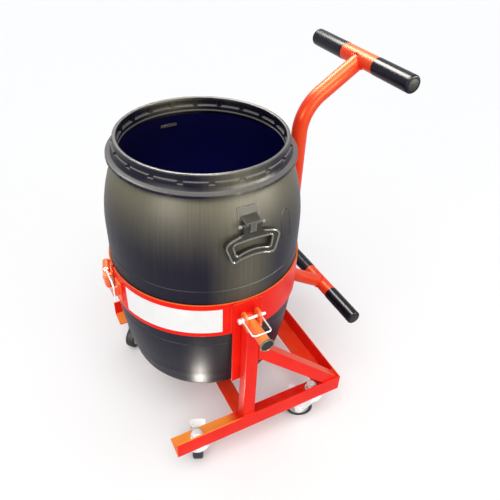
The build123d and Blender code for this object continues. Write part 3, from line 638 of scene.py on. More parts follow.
# %% [markdown]
# Dressing the frame. Each node names a material slot in the record, and gets the finish of that slot.
# A few kinds of node differ from the rest of their slot, in wear and in painted sheen and highlight, so they
# have a finish of their own.

# %% Finish on every node
# The pin-worn parts, orange from wear and from a painted sheen.
worn_lit_kinds = ("trunnion_near", "trunnion_far", "saddle", "latch_lever", "latch_catch", "latch_base")
own_finish = {
    "band": top_lit_paint, "brace": top_lit_paint, "side_rail": rail_paint, "handle_clip": clip_sheen_plastic,
    **dict.fromkeys(("handle_tube", "upper_bar", "lower_bar"), handle_paint),
    **dict.fromkeys(worn_lit_kinds, worn_lit_paint),
}


def of_kind(node_name, table):
    """What a table of kinds holds for a node, or nothing."""
    for kind, value in table.items():
        if node_name == kind or node_name.startswith(kind + "_"):
            return value
    return None


def node_finish(node_name):
    """The finish of a node: its own kind's if it has one, and its slot's otherwise."""
    return of_kind(node_name, own_finish) or slot_finish[node_slot[node_name]]


for node_name, piece in nodes.items():
    piece.data.materials.clear()
    piece.data.materials.append(node_finish(node_name))
print("nodes finished:", len(node_slot))

# %% [markdown]
# Piece helpers. A new piece is a mesh in the frame's own metres.
# It rides on a body, takes a slot and may stand for nodes.
# Most forms here are grids: rows of points that are joined in quads,
# which suits turned, swept and moulded shapes.

# %% Piece helpers
smooth_limit = math.radians(32)
weld_distance = 1e-6


def add_piece(name, mesh, body, slot, stands_for=(), material=None):
    """Put a mesh into the scene as a piece of the cart."""
    mesh.materials.append(material or slot_finish[slot])
    mesh.shade_smooth()
    mesh.set_sharp_from_angle(angle=smooth_limit)
    piece = put_in_scene(name, mesh)
    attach(piece, body)
    if stands_for:
        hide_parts(*stands_for)
    return piece


def grid_piece(name, grids, *dressing):
    """A piece from grids, each a list of closed rings of points, with its poles and seams joined."""
    build = bmesh.new()
    for rings in grids:
        rows = [[build.verts.new(point) for point in ring] for ring in rings]
        for lower, upper in zip(rows, rows[1:]):
            for column in range(len(lower)):
                after = (column + 1) % len(lower)
                build.faces.new((lower[column], lower[after], upper[after], upper[column]))
    bmesh.ops.remove_doubles(build, verts=build.verts, dist=weld_distance)
    bmesh.ops.recalc_face_normals(build, faces=build.faces)
    mesh = bpy.data.meshes.new(name)
    build.to_mesh(mesh)
    build.free()
    return add_piece(name, mesh, *dressing)


print("edges stay sharp past", round(math.degrees(smooth_limit)), "degrees")

# %% [markdown]
# Barrel outline. The body has a rounded foot, a long lower arc, a straight belly and a curved shoulder.
# The outline runs up the outside, over the rim, and down the inside, as one list of radius and height.
# Turning such a list gives a clean mesh whose loops follow the real mould lines.

# %% Barrel outline
base_radius = 0.188
foot_round = 0.042
wall = 0.004
belly_height = 0.481
shoulder_start = 0.616
shoulder_radius = 0.191
shoulder_height = 0.771
seam_depth = 0.0009
seam_half = 0.0013


def arc_radius(rise, fall):
    """Radius of an arc that leaves the wall upright and falls inwards over a height."""
    return (rise * rise + fall * fall) / (2 * fall)


lower_arc = arc_radius(belly_height - barrel_bottom, belly_radius - base_radius)
upper_arc = arc_radius(shoulder_height - shoulder_start, belly_radius - shoulder_radius)


def wall_radius(height):
    """Outer radius of the barrel's body at one height."""
    if height < belly_height:
        return belly_radius - lower_arc + math.sqrt(lower_arc ** 2 - (height - belly_height) ** 2)
    if height < shoulder_start:
        return belly_radius
    return belly_radius - upper_arc + math.sqrt(upper_arc ** 2 - (height - shoulder_start) ** 2)


def foot_arc(inset, steps):
    """The rounded foot, from the flat base to the wall."""
    centre_height = barrel_bottom + foot_round
    reach = math.sqrt((lower_arc - foot_round) ** 2 - (belly_height - centre_height) ** 2)
    centre_radius = belly_radius - lower_arc + reach
    last = -math.atan2(belly_height - centre_height, reach)
    turn_radius = foot_round - inset
    points = []
    for step in range(steps + 1):
        angle = -math.pi / 2 + (last + math.pi / 2) * step / steps
        height = centre_height + turn_radius * math.sin(angle)
        points.append((centre_radius + turn_radius * math.cos(angle), height))
    return points


def body_arc(inset, start, end, steps):
    """Points up the wall between two heights."""
    heights = [start + (end - start) * step / steps for step in range(steps + 1)]
    return [(wall_radius(height) - inset, height) for height in heights]


def seam(height):
    """A fine mould line round the body."""
    low, high = height - seam_half, height + seam_half
    return [(wall_radius(low), low), (wall_radius(height) - seam_depth, height), (wall_radius(high), high)]


print("arcs of the wall:", round(lower_arc, 3), "below and", round(upper_arc, 3), "above the belly")

# %% [markdown]
# Outside of the body. A shallow dish under the base lets the barrel stand on a ring, as blow moulded ones do.
# A faint ring above the foot and two mould seams break the long wall.

# %% Outside of the body
dish_height = barrel_bottom + 0.002
dish_radius = 0.140
dish_rim = 0.144
foot_end = foot_arc(inset=0, steps=1)[-1][1]
foot_ring = 0.267
lower_seam = 0.396
upper_seam = 0.565
seam_margin = 0.004
ring_rise = 0.0010
outside = [(0.0, dish_height), (dish_radius, dish_height), (dish_rim, barrel_bottom)]
outside += foot_arc(inset=0, steps=10)
outside += body_arc(0, foot_end + 0.006, foot_ring - 0.008, steps=2)
outside += [(wall_radius(foot_ring) + ring_rise, foot_ring)]
outside += body_arc(0, foot_ring + 0.010, lower_seam - seam_margin, steps=6)
outside += seam(lower_seam)
outside += body_arc(0, lower_seam + seam_margin, upper_seam - seam_margin, steps=8)
outside += seam(upper_seam)
outside += body_arc(0, upper_seam + seam_margin, shoulder_start, steps=3)
outside += body_arc(0, shoulder_start + 0.008, shoulder_height, steps=14)
print("outline points up the body:", len(outside))

# %% [markdown]
# Neck and rim. A collar overhangs the shoulder. Above it a ledge runs round the neck, cut by small notches.
# The wall is thin, so each stretch of ledge is a groove on the inside, and each notch shows there as a rib.
# A point of the outline therefore has a second radius, which it takes at the notches.

# %% Neck outline
neck_radius = 0.1900
collar_radius = 0.2045
collar_low = 0.7787
collar_high = 0.7860
collar_round = 0.0010
rim_radius = 0.1865
ledge_radius = 0.1904
mouth_radius = 0.1780
groove_inner = 0.1842

neck_outside = [
    (neck_radius, collar_low - 0.0015), (0.1915, collar_low), (0.2030, collar_low),
    (collar_radius, collar_low + collar_round), (collar_radius, collar_high - collar_round),
    (0.2037, collar_high), (0.1985, 0.7866), (0.1940, 0.7884), (0.1915, 0.7922), (ledge_radius, 0.7965),
]
ledge = [
    (ledge_radius, 0.1899, 0.7990), (ledge_radius, 0.1872, 0.8000), (ledge_radius, 0.1866, 0.8040),
    (0.1899, 0.1864, 0.8050), (0.1868, 0.1863, 0.8060),
]
rim = [
    (0.1861, 0.8085), (rim_radius, 0.8105), (0.1869, 0.8150), (0.1864, 0.8180), (0.1850, 0.8195),
    (0.1828, 0.8200), (0.1805, 0.8197), (0.1787, 0.8185), (mouth_radius, 0.8165), (mouth_radius, 0.8122),
]
inner_groove = [
    (0.1788, 0.1780, 0.8110), (groove_inner, 0.1783, 0.8102), (groove_inner, 0.1783, 0.8004),
    (0.1792, 0.1782, 0.7992),
]
neck_inside = [
    (0.1780, 0.7980), (0.1782, 0.7925), (0.1796, 0.7912), (0.1812, 0.7908), (0.1812, 0.7892),
    (0.1796, 0.7886), (0.1778, 0.7872), (0.1778, 0.7852), (0.1790, 0.7838), (0.1835, 0.7800),
    (0.1862, 0.7755),
]


def steady(pairs):
    """Outline points that are the same all the way round."""
    return [(radius, radius, height) for radius, height in pairs]


inside = body_arc(wall, shoulder_height - 0.002, foot_end + 0.004, steps=22)
inside += foot_arc(wall, steps=8)[::-1]
inside.append((0.0, barrel_bottom + wall))
outline = steady(outside + neck_outside) + ledge + steady(rim) + inner_groove + steady(neck_inside + inside)
print("outline points in all:", len(outline))

# %% [markdown]
# Barrel mesh. The outline is turned about the axis with more columns at the notches than between them.
# The collar's lower edge gets a ragged flash, as the mould leaves there, from a seeded random draw.

# %% Barrel
random.seed(7)
notch_count = 20
notch_half = math.radians(1.5)
notch_slope = math.radians(0.45)
plain_columns = 8
flash_band = (collar_low - 0.0002, collar_low + 0.0012)
flash_rise = 0.0009


def barrel_columns():
    """Angles round the axis, each with its share of a notch."""
    columns = []
    pitch = 2 * math.pi / notch_count
    for notch in range(notch_count):
        middle = notch * pitch
        notch_edge = notch_half + notch_slope
        columns += [(middle - notch_edge, 0.0), (middle - notch_half, 1.0), (middle, 1.0)]
        columns += [(middle + notch_half, 1.0), (middle + notch_edge, 0.0)]
        run = pitch - 2 * notch_edge
        for step in range(1, plain_columns):
            columns.append((middle + notch_edge + run * step / plain_columns, 0.0))
    return columns


def barrel_rings():
    """One ring of points for each outline point."""
    columns = barrel_columns()
    rings = []
    for ledge_side, notch_side, height in outline:
        ragged = flash_band[0] < height < flash_band[1] and ledge_side > neck_radius + flash_rise
        ring = []
        for angle, share in columns:
            radius = ledge_side + (notch_side - ledge_side) * share
            lowered = height
            if ragged:
                radius += flash_rise * random.random() ** 2
                lowered -= flash_rise * random.random() ** 2
            ring.append(at(radius * math.cos(angle), radius * math.sin(angle), lowered))
        rings.append(ring)
    return rings


shell = grid_piece("barrel_shell", [barrel_rings()], "cradle", "black_plastic", ["barrel"], barrel_plastic)
print("barrel faces:", len(shell.data.polygons))

# %% [markdown]
# Softened edges. Cut plate, pressed steel and moulded plastic never end in a perfect corner.
# Each of these nodes is copied, its flat faces are joined up again,
# and a bevel rounds every sharp edge a little.
# A copy is used because the frame's own meshes stay as they were packed.

# %% Softened edges
flat_limit = math.radians(0.6)
sharp_limit = math.radians(38)
edge_width = {
    "side_rail": 0.0012, "rear_rail": 0.0012, "cross_bar": 0.0012, "post": 0.0010, "brace": 0.0012,
    "hanger": 0.0010, "saddle": 0.0007, "band": 0.0008, "latch_base": 0.0006, "latch_catch": 0.0006,
    "latch_lever": 0.0006, "handle_clip": 0.0008, "drop_handle": 0.0013, "fork": 0.0006,
    "brake_pedal": 0.0005, "kingpin_washers": 0.0004, "hub": 0.0007,
}


def body_of(node_name):
    """The name of the body that a node rides on."""
    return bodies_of(nodes[node_name])[0]


def joined_faces(node_name):
    """A copy of a node's mesh whose flat stretches are single faces."""
    build = bmesh.new()
    build.from_mesh(nodes[node_name].data)
    bmesh.ops.remove_doubles(build, verts=build.verts, dist=10 * weld_distance)
    bmesh.ops.dissolve_limit(build, angle_limit=flat_limit, verts=build.verts, edges=build.edges)
    build.verts.index_update()
    points = [point.co.copy() for point in build.verts]
    faces = [[point.index for point in face.verts] for face in build.faces]
    build.free()
    mesh = bpy.data.meshes.new(node_name + "_soft")
    mesh.from_pydata(points, [], faces)
    return mesh


def soften(node_name, width):
    """Stand a copy with rounded edges in for a node."""
    mesh = joined_faces(node_name)
    slot = node_slot[node_name]
    piece = add_piece(mesh.name, mesh, body_of(node_name), slot, [node_name], node_finish(node_name))
    bevel = piece.modifiers.new("rounded_edges", "BEVEL")
    bevel.width = width
    bevel.segments = 2
    bevel.limit_method = "ANGLE"
    bevel.angle_limit = sharp_limit
    bevel.harden_normals = True


softened = [node_name for node_name in sorted(nodes) if of_kind(node_name, edge_width)]
for node_name in softened:
    soften(node_name, of_kind(node_name, edge_width))
print("softened:", len(softened), "nodes")

# %% [markdown]
# Turned forms. Bars, tyres, bolts and pins are all made by turning an outline about a line.
# One helper gives the rings of points, and an outline is a list of places along the line with their radii.

# %% Turning helpers
round_columns = 48
small_columns = 24


def around(columns):
    """Even angles round a circle."""
    return [2 * math.pi * column / columns for column in range(columns)]


def ring_point(place, line, along, radius, angle):
    """A point at an angle round a line."""
    arm = line.orthogonal().normalized()
    return place + line * along + (arm * math.cos(angle) + line.cross(arm) * math.sin(angle)) * radius


def turned(place, line, profile, columns=round_columns):
    """Rings of points for an outline that is turned about a line."""
    angles = around(columns)
    return [[ring_point(place, line, along, radius, angle) for angle in angles] for along, radius in profile]


def mirrored(half):
    """Half an outline, and then its mirror image."""
    return half + [(-along, radius) for along, radius in half[::-1]]


print("columns in a turned form:", round_columns, "or", small_columns)

# %% [markdown]
# Cross bars. On the real cart the red bar is as thick as the grips on it, so the black runs on flush.
# The node is the slimmer tube that the grips are pushed on, so a bar with a stout middle stands for it.

# %% Cross bars
across = Vector((0, 1, 0))
grip_low, grip_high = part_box("upper_grip_far")
grip_radius = (grip_high.z - grip_low.z) / 2
step_down = 0.0007
bar_radius = grip_radius - step_down
bar_round = 0.0008
bar_clearance = 0.0004
bar_middle = {}
for bar_name in ("upper_bar", "lower_bar"):
    bar_low, bar_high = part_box(bar_name)
    bar_middle[bar_name] = (bar_low + bar_high) / 2
    tube_radius = (bar_high.z - bar_low.z) / 2
    stout_half = grip_low.y - bar_clearance
    far_half = [
        (bar_high.y, 0.0), (bar_high.y, tube_radius), (stout_half, tube_radius),
        (stout_half, bar_radius - bar_round), (stout_half - bar_round, bar_radius),
    ]
    rings = turned(bar_middle[bar_name], across, mirrored(far_half))
    grid_piece(bar_name + "_stout", [rings], "cradle", "red_paint", [bar_name], handle_paint)
print("cross bar radius", round(bar_radius, 4), "grip radius", round(grip_radius, 4))

# %% [markdown]
# Handle tube. One tube is bent twice, runs down the back of the band and carries a cross bar at each end.
# It is nearly as stout as the bars, and the node is slimmer, so a tube of the right size stands for it.
# A bend is an arc between two straight runs, so the path is worked out from its corners and one bend radius.

# %% Handle tube
handle_radius = bar_radius - step_down
bend_radius = 0.105
bend_steps = 14
handle_x = 0.2453
upper_corner = at(handle_x, 0, 0.8246)
lower_corner = at(handle_x, 0, 0.3384)
handle_corners = [bar_middle["upper_bar"], upper_corner, lower_corner, bar_middle["lower_bar"]]


def bend(before, corner, after):
    """Points of the arc that rounds a corner."""
    back = (before - corner).normalized()
    onward = (after - corner).normalized()
    opening = back.angle(onward)
    start = corner + back * bend_radius / math.tan(opening / 2)
    centre = corner + (back + onward).normalized() * bend_radius / math.sin(opening / 2)
    arm = start - centre
    angles = [(math.pi - opening) * step / bend_steps for step in range(bend_steps + 1)]
    return [centre + arm * math.cos(angle) - back * bend_radius * math.sin(angle) for angle in angles]


def swept(path, radii, reference, columns):
    """Rings of points round a path, square to it."""
    rings = []
    for index, (point, radius) in enumerate(zip(path, radii)):
        heading = (path[min(index + 1, len(path) - 1)] - path[max(index - 1, 0)]).normalized()
        arm = heading.cross(reference).normalized()
        lift = arm.cross(heading)
        angles = around(columns)
        rings.append([point + (arm * math.cos(angle) + lift * math.sin(angle)) * radius for angle in angles])
    return rings


handle_path = [handle_corners[0]]
for corners in zip(handle_corners, handle_corners[1:], handle_corners[2:]):
    handle_path += bend(*corners)
handle_path.append(handle_corners[-1])
handle_rings = swept(handle_path, [handle_radius] * len(handle_path), across, round_columns)
handle_rings = [[handle_path[0]] * round_columns] + handle_rings + [[handle_path[-1]] * round_columns]
grid_piece("handle_tube_stout", [handle_rings], "cradle", "red_paint", ["handle_tube"], handle_paint)
print("handle tube radius", round(handle_radius, 4), "with bends of", bend_radius)

# %% [markdown]
# Trunnion plugs. The open end of each trunnion is closed by a pushed-in plug with a flange past the tube.
# A steel ring round the flange is worn bright, so it is a piece of its own with a paler finish.

# %% Trunnion plugs
trunnion_height = 0.477
trunnion_end = 0.321
plug_face_outline = [
    (-0.0100, 0.0), (-0.0100, 0.0102), (0.0, 0.0102), (0.0, 0.0136), (0.0026, 0.0136), (0.0026, 0.0110),
    (0.0022, 0.0),
]
plug_ring_outline = [
    (0.0, 0.0137), (0.0, 0.0158), (0.0008, 0.0165), (0.0026, 0.0165), (0.0036, 0.0161), (0.0040, 0.0152),
    (0.0038, 0.0143), (0.0026, 0.0137), (0.0, 0.0137),
]
for side_name, side in sides.items():
    plug_name = "trunnion_plug_" + side_name
    plug_place = at(0, side * trunnion_end, trunnion_height)
    face_rings = turned(plug_place, across * side, plug_face_outline)
    grid_piece(plug_name + "_face", [face_rings], "cradle", "plug_plastic", [plug_name])
    edge_rings = turned(plug_place, across * side, plug_ring_outline)
    grid_piece(plug_name + "_ring", [edge_rings], "cradle", "zinc_steel", (), plug_rim_steel)
print("plug ring radius", max(radius for along, radius in plug_ring_outline))

# %% [markdown]
# Grip ends. Each grip is closed by a scuffed grey plug, which shows as a paler disc inside the black edge.
# A shallow turned cap is enough, with its foot sunk into the grip so that no gap shows.

# %% Grip ends
cap_radius = 0.0128
cap_sunk = 0.0006
cap_outline = [
    (0.0, 0.0), (0.0, cap_radius), (0.0004, cap_radius), (0.0009, cap_radius - 0.0012), (0.0011, 0.0),
]
for bar_name, middle in bar_middle.items():
    for side_name, side in sides.items():
        grip_name = bar_name.replace("bar", "grip") + "_" + side_name
        low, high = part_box(grip_name)
        end = Vector((middle.x, high.y if side > 0 else low.y, middle.z)) - across * side * cap_sunk
        grid_piece(grip_name + "_plug", [turned(end, across * side, cap_outline)], "cradle", "plug_plastic")
print("grip plugs of radius", cap_radius)

# %% [markdown]
# Tyres. Hard rubber rings with rounded shoulders and two fine grooves from the mould.
# Half of the outline is drawn from the bore to the tread, and the other half is its mirror image.

# %% Tyres
tread_radius = 0.0380
tyre_half = 0.0135
tyre_bore = 0.02705
tyre_lip = 0.0025
tyre_round = 0.0060
tyre_columns = 64
shoulder_steps = 6
groove_place = 0.0046
groove_half = 0.0008
groove_depth = 0.0010

half_tyre = [(-tyre_half, tyre_bore), (-tyre_half, tyre_bore + tyre_lip)]
for step in range(shoulder_steps + 1):
    angle = math.pi / 2 * step / shoulder_steps
    along = -tyre_half + tyre_round * (1 - math.cos(angle))
    half_tyre.append((along, tread_radius - tyre_round * (1 - math.sin(angle))))
for share, depth in ((-1, 0), (-0.5, groove_depth), (0.5, groove_depth), (1, 0)):
    half_tyre.append((-groove_place + groove_half * share, tread_radius - depth))
tyre_outline = mirrored(half_tyre)
tyre_outline.append(tyre_outline[0])
wheel_lines = {}
for spot in caster_spots:
    wheel_lines[spot] = (joint_place["wheel_spin_" + spot], joint_line["wheel_spin_" + spot])
    tyre_rings = turned(*wheel_lines[spot], tyre_outline, tyre_columns)
    tyre = "tyre_" + spot
    grid_piece("tyre_ring_" + spot, [tyre_rings], body_of(tyre), "tyre_rubber", [tyre])
print("tyres on", len(wheel_lines), "casters")

# %% [markdown]
# Bolts. The kingpins carry chamfered hexagon nuts with a little thread showing,
# and each axle ends in hexagon heads.
# The chamfer is a cone that cuts the corners, so it goes deeper where the hexagon reaches further out.

# %% Nuts and axles
upright = Vector((0, 0, 1))
chamfer_share = 0.97
chamfer_slope = math.tan(math.radians(30))
bore_flare = 0.12
hex_columns = 72


def hexagon(place, line, low, high, flat, bore):
    """Rings of a chamfered hexagon nut, or of a bolt head if the bore is nothing."""
    columns = []
    for angle in around(hex_columns):
        reach = flat / math.cos(angle % (math.pi / 3) - math.pi / 6)
        cut = (reach - chamfer_share * flat) * chamfer_slope
        marks = [
            (low, bore), (low, chamfer_share * flat), (low + cut, reach), (high - cut, reach),
            (high, chamfer_share * flat), (high, bore * (1 + bore_flare)), (high - bore * bore_flare, bore),
            (low, bore),
        ]
        columns.append([ring_point(place, line, along, radius, angle) for along, radius in marks])
    return list(zip(*columns))


nut_low, nut_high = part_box("kingpin_nuts")
nut_flat = 0.0135
nut_body = body_of("kingpin_nuts")
kingpin_radius = 0.00795
kingpins_at = [Vector((*joint_place["swivel_" + spot].xy, 0.0)) for spot in caster_spots]
nut_sizes = (nut_low.z, nut_high.z, nut_flat, kingpin_radius)
nut_grids = [hexagon(place, upright, *nut_sizes) for place in kingpins_at]
grid_piece("kingpin_nuts_chamfered", nut_grids, nut_body, "zinc_steel", ["kingpin_nuts"])

axle_radius = 0.005
head_flat = 0.0073
head_start = 0.0195
head_end = 0.0245
shank_outline = [(-head_start, 0.0), (-head_start, axle_radius), (head_start, axle_radius), (head_start, 0.0)]
for spot, (centre, line) in wheel_lines.items():
    bolt_grids = [turned(centre, line, shank_outline, small_columns)]
    bolt_grids += [hexagon(centre, line * end, head_start, head_end, head_flat, 0.0) for end in (-1, 1)]
    axle = "axle_" + spot
    grid_piece("axle_bolt_" + spot, bolt_grids, body_of(axle), "zinc_steel", [axle])
print("nuts across flats", 2 * nut_flat, "and axle heads", 2 * head_flat)

# %% [markdown]
# Drop handles. Each loop has a raised round lip along its outer edge and round its finger gap,
# which catches the light.
# The lips follow the loop's own outline: two arched edges and two slanting sides, with smoothed corners.
# The loop hangs on a pin whose rounded ends stand out at both sides of the yoke.

# %% Outlines of the handle loop
outer_shape = {
    "top_half": 0.0645, "top_drop": 0.0290, "top_arch": 0.0150,
    "foot_half": 0.0480, "foot_drop": 0.0780, "foot_arch": 0.0100,
}
gap_shape = {
    "top_half": 0.0435, "top_drop": 0.0340, "top_arch": 0.0020,
    "foot_half": 0.0380, "foot_drop": 0.0595, "foot_arch": 0.0080,
}
outer_smoothing = 10
gap_smoothing = 6
loop_steps = 40


def arched(half, drop, arch):
    """Points along an arched edge."""
    shares = [step / loop_steps for step in range(-loop_steps, loop_steps + 1)]
    return [Vector((half * share, drop - arch * (1 - share * share))) for share in shares]


def straight(first, last):
    """Points between two corners."""
    return [first.lerp(last, step / loop_steps) for step in range(1, loop_steps)]


def loop_outline(smoothing, top_half, top_drop, top_arch, foot_half, foot_drop, foot_arch):
    """An arched four-sided outline, from the middle of its top edge and back again."""
    top = arched(top_half, top_drop, top_arch)
    foot = arched(foot_half, foot_drop, foot_arch)
    points = top[loop_steps:] + straight(top[-1], foot[-1]) + foot[::-1] + straight(foot[0], top[0])
    points += top[:loop_steps]
    spans = range(-smoothing, smoothing + 1)
    smooth = []
    for index in range(len(points)):
        nearby = [points[(index + span) % len(points)] for span in spans]
        smooth.append(sum(nearby, Vector((0, 0))) / len(spans))
    return smooth


def moved_in(points, inset):
    """A closed outline moved towards its inside."""
    moved = []
    for index, point in enumerate(points):
        heading = (points[(index + 1) % len(points)] - points[index - 1]).normalized()
        moved.append(point + Vector((-heading.y, heading.x)) * inset)
    return moved


lip_inset = 0.0021
yoke_half = 0.0225
outer_lip = moved_in(loop_outline(outer_smoothing, **outer_shape), lip_inset)
outer_lip = [point for point in outer_lip if abs(point.x) > yoke_half or point.y > outer_shape["top_drop"]]
gap_lip = moved_in(loop_outline(gap_smoothing, **gap_shape), -lip_inset)
gap_lip += gap_lip[:2]
print("points along the lips:", len(outer_lip), "and", len(gap_lip))

# %% [markdown]
# Handle trim. The flat lips are laid on the front face of each loop, which is found from its joint:
# the pin's line, the way the loop hangs, and the side that faces out.

# %% Handle lips and pins
lip_radius = 0.0021
lip_columns = 10
half_thickness = 0.0055
lip_sunk = 0.0006
pin_outline = [
    (0.0228, 0.0), (0.0228, 0.0038), (0.0284, 0.0038), (0.0294, 0.0033), (0.0300, 0.0020), (0.0302, 0.0),
]
for side_name, side in sides.items():
    handle_name = "drop_handle_" + side_name
    handle_body = body_of(handle_name)
    pivot = joint_place[handle_name + "_swing"]
    pin_line = joint_line[handle_name + "_swing"]
    low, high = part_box(handle_name)
    hang = (low + high) / 2 - pivot
    hang = (hang - pin_line * hang.dot(pin_line)).normalized()
    outward = pin_line.cross(hang)
    outward *= 1 if outward.y * side > 0 else -1
    lift = outward * (half_thickness - lip_sunk)
    lips = []
    for lip in (outer_lip, gap_lip):
        lip_path = [pivot + pin_line * point.x + hang * point.y + lift for point in lip]
        radii = [0.0] + [lip_radius] * (len(lip_path) - 2) + [0.0]
        lips.append(swept(lip_path, radii, outward, lip_columns))
    # The lips' pale finish is a painted highlight.
    grid_piece(handle_name + "_lips", lips, handle_body, "black_plastic", (), lip_highlight_plastic)
    pin_ends = [turned(pivot, pin_line * end, pin_outline, small_columns) for end in (-1, 1)]
    grid_piece(handle_name + "_pin_ends", pin_ends, handle_body, "zinc_steel", (), pin_steel)
print("lips and pin ends on both handles")

# %% [markdown]
# Beads. A weld is a row of small overlapping puddles, so its bead swells and narrows at an even pitch.
# A curve with a bevel would be perfectly even, so each is swept ring by ring, with seeded small changes.
# The same sweep without the ripple makes screw threads and moulded ribs.

# %% Bead helpers
random.seed(23)
bead_columns = 8
rings_per_ripple = 5
fewest_rings = 4
even = {"ripple": 0.0, "pitch": 0.01}


def spaced(path, gap):
    """Points along a path at an even spacing, each with the length up to it, and the whole length."""
    lengths = [0.0]
    for before, after in zip(path, path[1:]):
        lengths.append(lengths[-1] + (after - before).length)
    count = max(fewest_rings, math.ceil(lengths[-1] / gap))
    points = []
    run = 0
    for step in range(count + 1):
        reach = lengths[-1] * step / count
        while run < len(path) - 2 and lengths[run + 1] < reach:
            run += 1
        share = (reach - lengths[run]) / (lengths[run + 1] - lengths[run])
        points.append((path[run].lerp(path[run + 1], share), reach))
    return points, lengths[-1]


def bead(path, radius, reference, ripple=0.18, pitch=0.0042):
    """Rings of a bead along a path, round at both ends."""
    points, length = spaced(path, pitch / rings_per_ripple)
    sizes = []
    for point, reach in points:
        from_end = min(reach, length - reach, radius)
        size = radius * math.sqrt(max(0.0, 1 - (1 - from_end / radius) ** 2))
        swell = math.sin(2 * math.pi * reach / pitch) + random.uniform(-0.5, 0.5)
        sizes.append(size * (1 + ripple * swell))
    return swept([point for point, reach in points], sizes, reference, bead_columns)


print("bead columns:", bead_columns)

# %% [markdown]
# Cradle welds. The hangers are welded to the band down both edges, the trunnions all round their roots,
# the handle tube to the band on both sides, and both cross bars to the ends of the tube.
# Every run is a path with the radius of its bead, so the runs are listed and then swept in one go.

# %% Cradle welds
band_low, band_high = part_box("band")
hanger_edge = 0.0362
hanger_face = 0.2284
trunnion_root = 0.2353
root_radius = 0.0141
root_steps = 40
root_overlap = 1.02
band_back = 0.2302
tube_side = 0.0118
joint_steps = 48
joint_overlap = 2
cradle_weld = {"hanger": 0.0027, "trunnion": 0.0021, "tube": 0.0026, "bar": 0.0024}


def tube_end_curve(middle, heading):
    """The curve where the end of the handle tube meets a cross bar."""
    lift = heading.cross(across)
    tube_reach = handle_radius + 0.0002
    curve = []
    for step in range(joint_steps + joint_overlap):
        angle = 2 * math.pi * step / joint_steps
        rise = tube_reach * math.cos(angle)
        back = math.sqrt((bar_radius + 0.0004) ** 2 - rise ** 2)
        curve.append(middle - heading * back + lift * rise + across * tube_reach * math.sin(angle))
    return curve


cradle_runs = []
for side in sides.values():
    for x in (-hanger_edge, hanger_edge):
        ends = [at(x, side * hanger_face, z) for z in (band_low.z + 0.007, band_high.z - 0.006)]
        cradle_runs.append((ends, cradle_weld["hanger"], across))
    root = at(0, side * trunnion_root, trunnion_height)
    angles = [2 * math.pi * root_overlap * step / root_steps for step in range(root_steps + 1)]
    circle = [ring_point(root, across, 0.0, root_radius, angle) for angle in angles]
    cradle_runs.append((circle, cradle_weld["trunnion"], across))
for y in (-tube_side, tube_side):
    ends = [at(band_back, y, z) for z in (band_low.z + 0.004, band_high.z - 0.004)]
    cradle_runs.append((ends, cradle_weld["tube"], across))
tube_ends = {"upper_bar": handle_path[0] - handle_path[1], "lower_bar": handle_path[-1] - handle_path[-2]}
for bar_name, heading in tube_ends.items():
    heading = heading.normalized()
    cradle_runs.append((tube_end_curve(bar_middle[bar_name], heading), cradle_weld["bar"], heading))
grid_piece("cradle_welds", [bead(*run) for run in cradle_runs], "cradle", "red_paint")
print("beads on the cradle:", len(cradle_runs))

# %% [markdown]
# Frame welds. Posts are welded round their feet and up the rails, saddles onto the posts,
# and braces at both ends.
# The cross bar is welded to both rails, and the mitred rear corners are closed with a low bead.
# One drop of spatter sits on the near post.

# %% Frame welds
flange_top = 0.114
upstand_top = 0.160
upstand_face = 0.2688
upstand_run = (0.117, 0.158)
post_half = 0.016
post_inner = 0.23605
post_outer = 0.26805
weld_reach = post_half + 0.0008
saddle_foot = 0.4668
saddle_run = (0.2390, 0.2651)
brace_low_z, brace_high_z = 0.3646, 0.4114
brace_proud = 0.0006
brace_feet = ((0.2738, 0.1534), (0.2366, 0.1152))
bar_half = 0.0205
bar_end = 0.2186
mitre = ((0.226, 0.219), (0.274, 0.267))
frame_weld = {
    "post_foot": 0.0025, "post_top": 0.0020, "post_edge": 0.0018, "saddle": 0.0018,
    "brace_top": 0.0021, "brace_foot": 0.0019, "cross_bar": 0.0018, "mitre": 0.0013,
}


def frame_runs(side_name, side):
    """The welds of one side, each as a path, the name of its bead and its reference direction."""
    foot_z = flange_top + 0.0012
    inner, outer = post_inner - 0.0008, post_outer - 0.001
    foot = [(-weld_reach, outer), (-weld_reach, inner), (weld_reach, inner), (weld_reach, outer)]
    top_z = upstand_top + 0.0004
    runs = [
        ([at(x, side * y, foot_z) for x, y in foot], "post_foot", upright),
        ([at(x, side * upstand_face, top_z) for x in (-post_half, post_half)], "post_top", across),
    ]
    for x in (-weld_reach, weld_reach):
        runs.append(([at(x, side * (post_outer - 0.0008), z) for z in upstand_run], "post_edge", across))
        runs.append(([at(x, side * y, saddle_foot) for y in saddle_run], "saddle", upright))
    brace_low, brace_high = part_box("brace_" + side_name)
    inner, outer = sorted((abs(brace_low.y), abs(brace_high.y)))
    inner -= brace_proud
    outer += brace_proud
    ring = [(inner, brace_low_z), (outer, brace_low_z), (outer, brace_high_z), (inner, brace_high_z)]
    ring += ring[:2]
    runs.append(([at(post_half + 0.0009, side * y, z) for y, z in ring], "brace_top", Vector((1, 0, 0))))
    for x, z in brace_feet:
        runs.append(([at(x, side * y, z) for y in (inner, outer)], "brace_foot", upright))
    bar_z = flange_top + 0.0006
    runs.append(([at(x, side * bar_end, bar_z) for x in (-bar_half, bar_half)], "cross_bar", upright))
    runs.append(([at(x, side * y, flange_top + 0.0002) for x, y in mitre], "mitre", upright))
    return runs


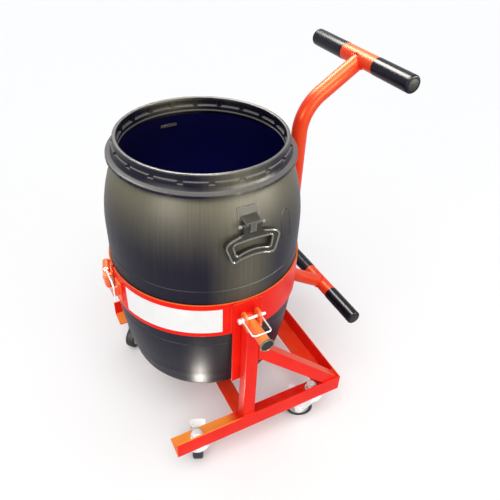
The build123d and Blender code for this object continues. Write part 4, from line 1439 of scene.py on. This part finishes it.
frame_beads = []
for side_name, side in sides.items():
    for path, weld, reference in frame_runs(side_name, side):
        frame_beads.append(bead(path, frame_weld[weld], reference))
spatter = at(-0.0093, -post_outer - 0.0002, 0.451)
spatter_half = 0.0012
spatter_path = [spatter - upright * spatter_half, spatter + upright * spatter_half]
frame_beads.append(bead(spatter_path, spatter_half, across))
grid_piece("frame_welds", frame_beads, "base_frame", "red_paint")
print("beads on the frame:", len(frame_beads))

# %% [markdown]
# Threads. A few turns of the kingpin's thread stand above each nut.
# A helix path with a fine even bead gives them.

# %% Kingpin threads
thread_pitch = 0.0015
thread_steps = 24
thread_radius = 0.0005
thread_start = nut_high.z + 0.0004
thread_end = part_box("kingpins")[1].z - 0.0006
thread_turns = (thread_end - thread_start) / thread_pitch
thread_grids = []
for place in kingpins_at:
    helix = []
    for step in range(int(thread_turns * thread_steps) + 1):
        height = thread_start + thread_pitch * step / thread_steps
        helix.append(ring_point(place, upright, height, kingpin_radius, 2 * math.pi * step / thread_steps))
    thread_grids.append(bead(helix, thread_radius, upright, **even))
grid_piece("kingpin_threads", thread_grids, nut_body, "zinc_steel")
print("thread turns:", round(thread_turns, 2))

# %% [markdown]
# Moulded details. A thin raised frame stands on the barrel's wall beside the near handle.
# Inside, the mould leaves a short ledge behind each handle pad, which catches the light from above.

# %% Barrel ribs
rib_steps = 12
rib_radius = 0.0010
rib_outward = Vector((0.5, -0.86, 0.1))
rib_corners = [
    (-66, 0.642), (-58, 0.642), (-58, 0.700), (-62, 0.712), (-66, 0.700), (-66, 0.642), (-65, 0.642),
]
ledge_middles = (-91.9, 91.9)
ledge_half = 6.5
ledge_height = 0.748
ledge_apart = 0.0025
ledge_bead = 0.0026


def wall_point(degrees, height, lift):
    """A point on the barrel's outer wall, lifted off it."""
    angle = math.radians(degrees)
    radius = wall_radius(height) + lift
    return at(radius * math.cos(angle), radius * math.sin(angle), height)


rib_path = []
for (first, first_z), (last, last_z) in zip(rib_corners, rib_corners[1:]):
    for share in [step / rib_steps for step in range(rib_steps)]:
        rib_path.append(wall_point(first + (last - first) * share, first_z + (last_z - first_z) * share, 0.0))
rib_grids = [bead(rib_path, rib_radius, rib_outward, **even)]
grid_piece("wall_mark_frame", rib_grids, "cradle", "black_plastic", (), barrel_plastic)

ledge_grids = []
for middle in ledge_middles:
    arc = [middle - ledge_half + 2 * ledge_half * step / rib_steps for step in range(rib_steps + 1)]
    for height in (ledge_height - ledge_apart, ledge_height + ledge_apart):
        ledge_path = [wall_point(degrees, height, -wall) for degrees in arc]
        ledge_grids.append(bead(ledge_path, ledge_bead, upright, **even))
grid_piece("inner_ledges", ledge_grids, "cradle", "black_plastic")
print("moulded ribs:", len(rib_grids) + len(ledge_grids))
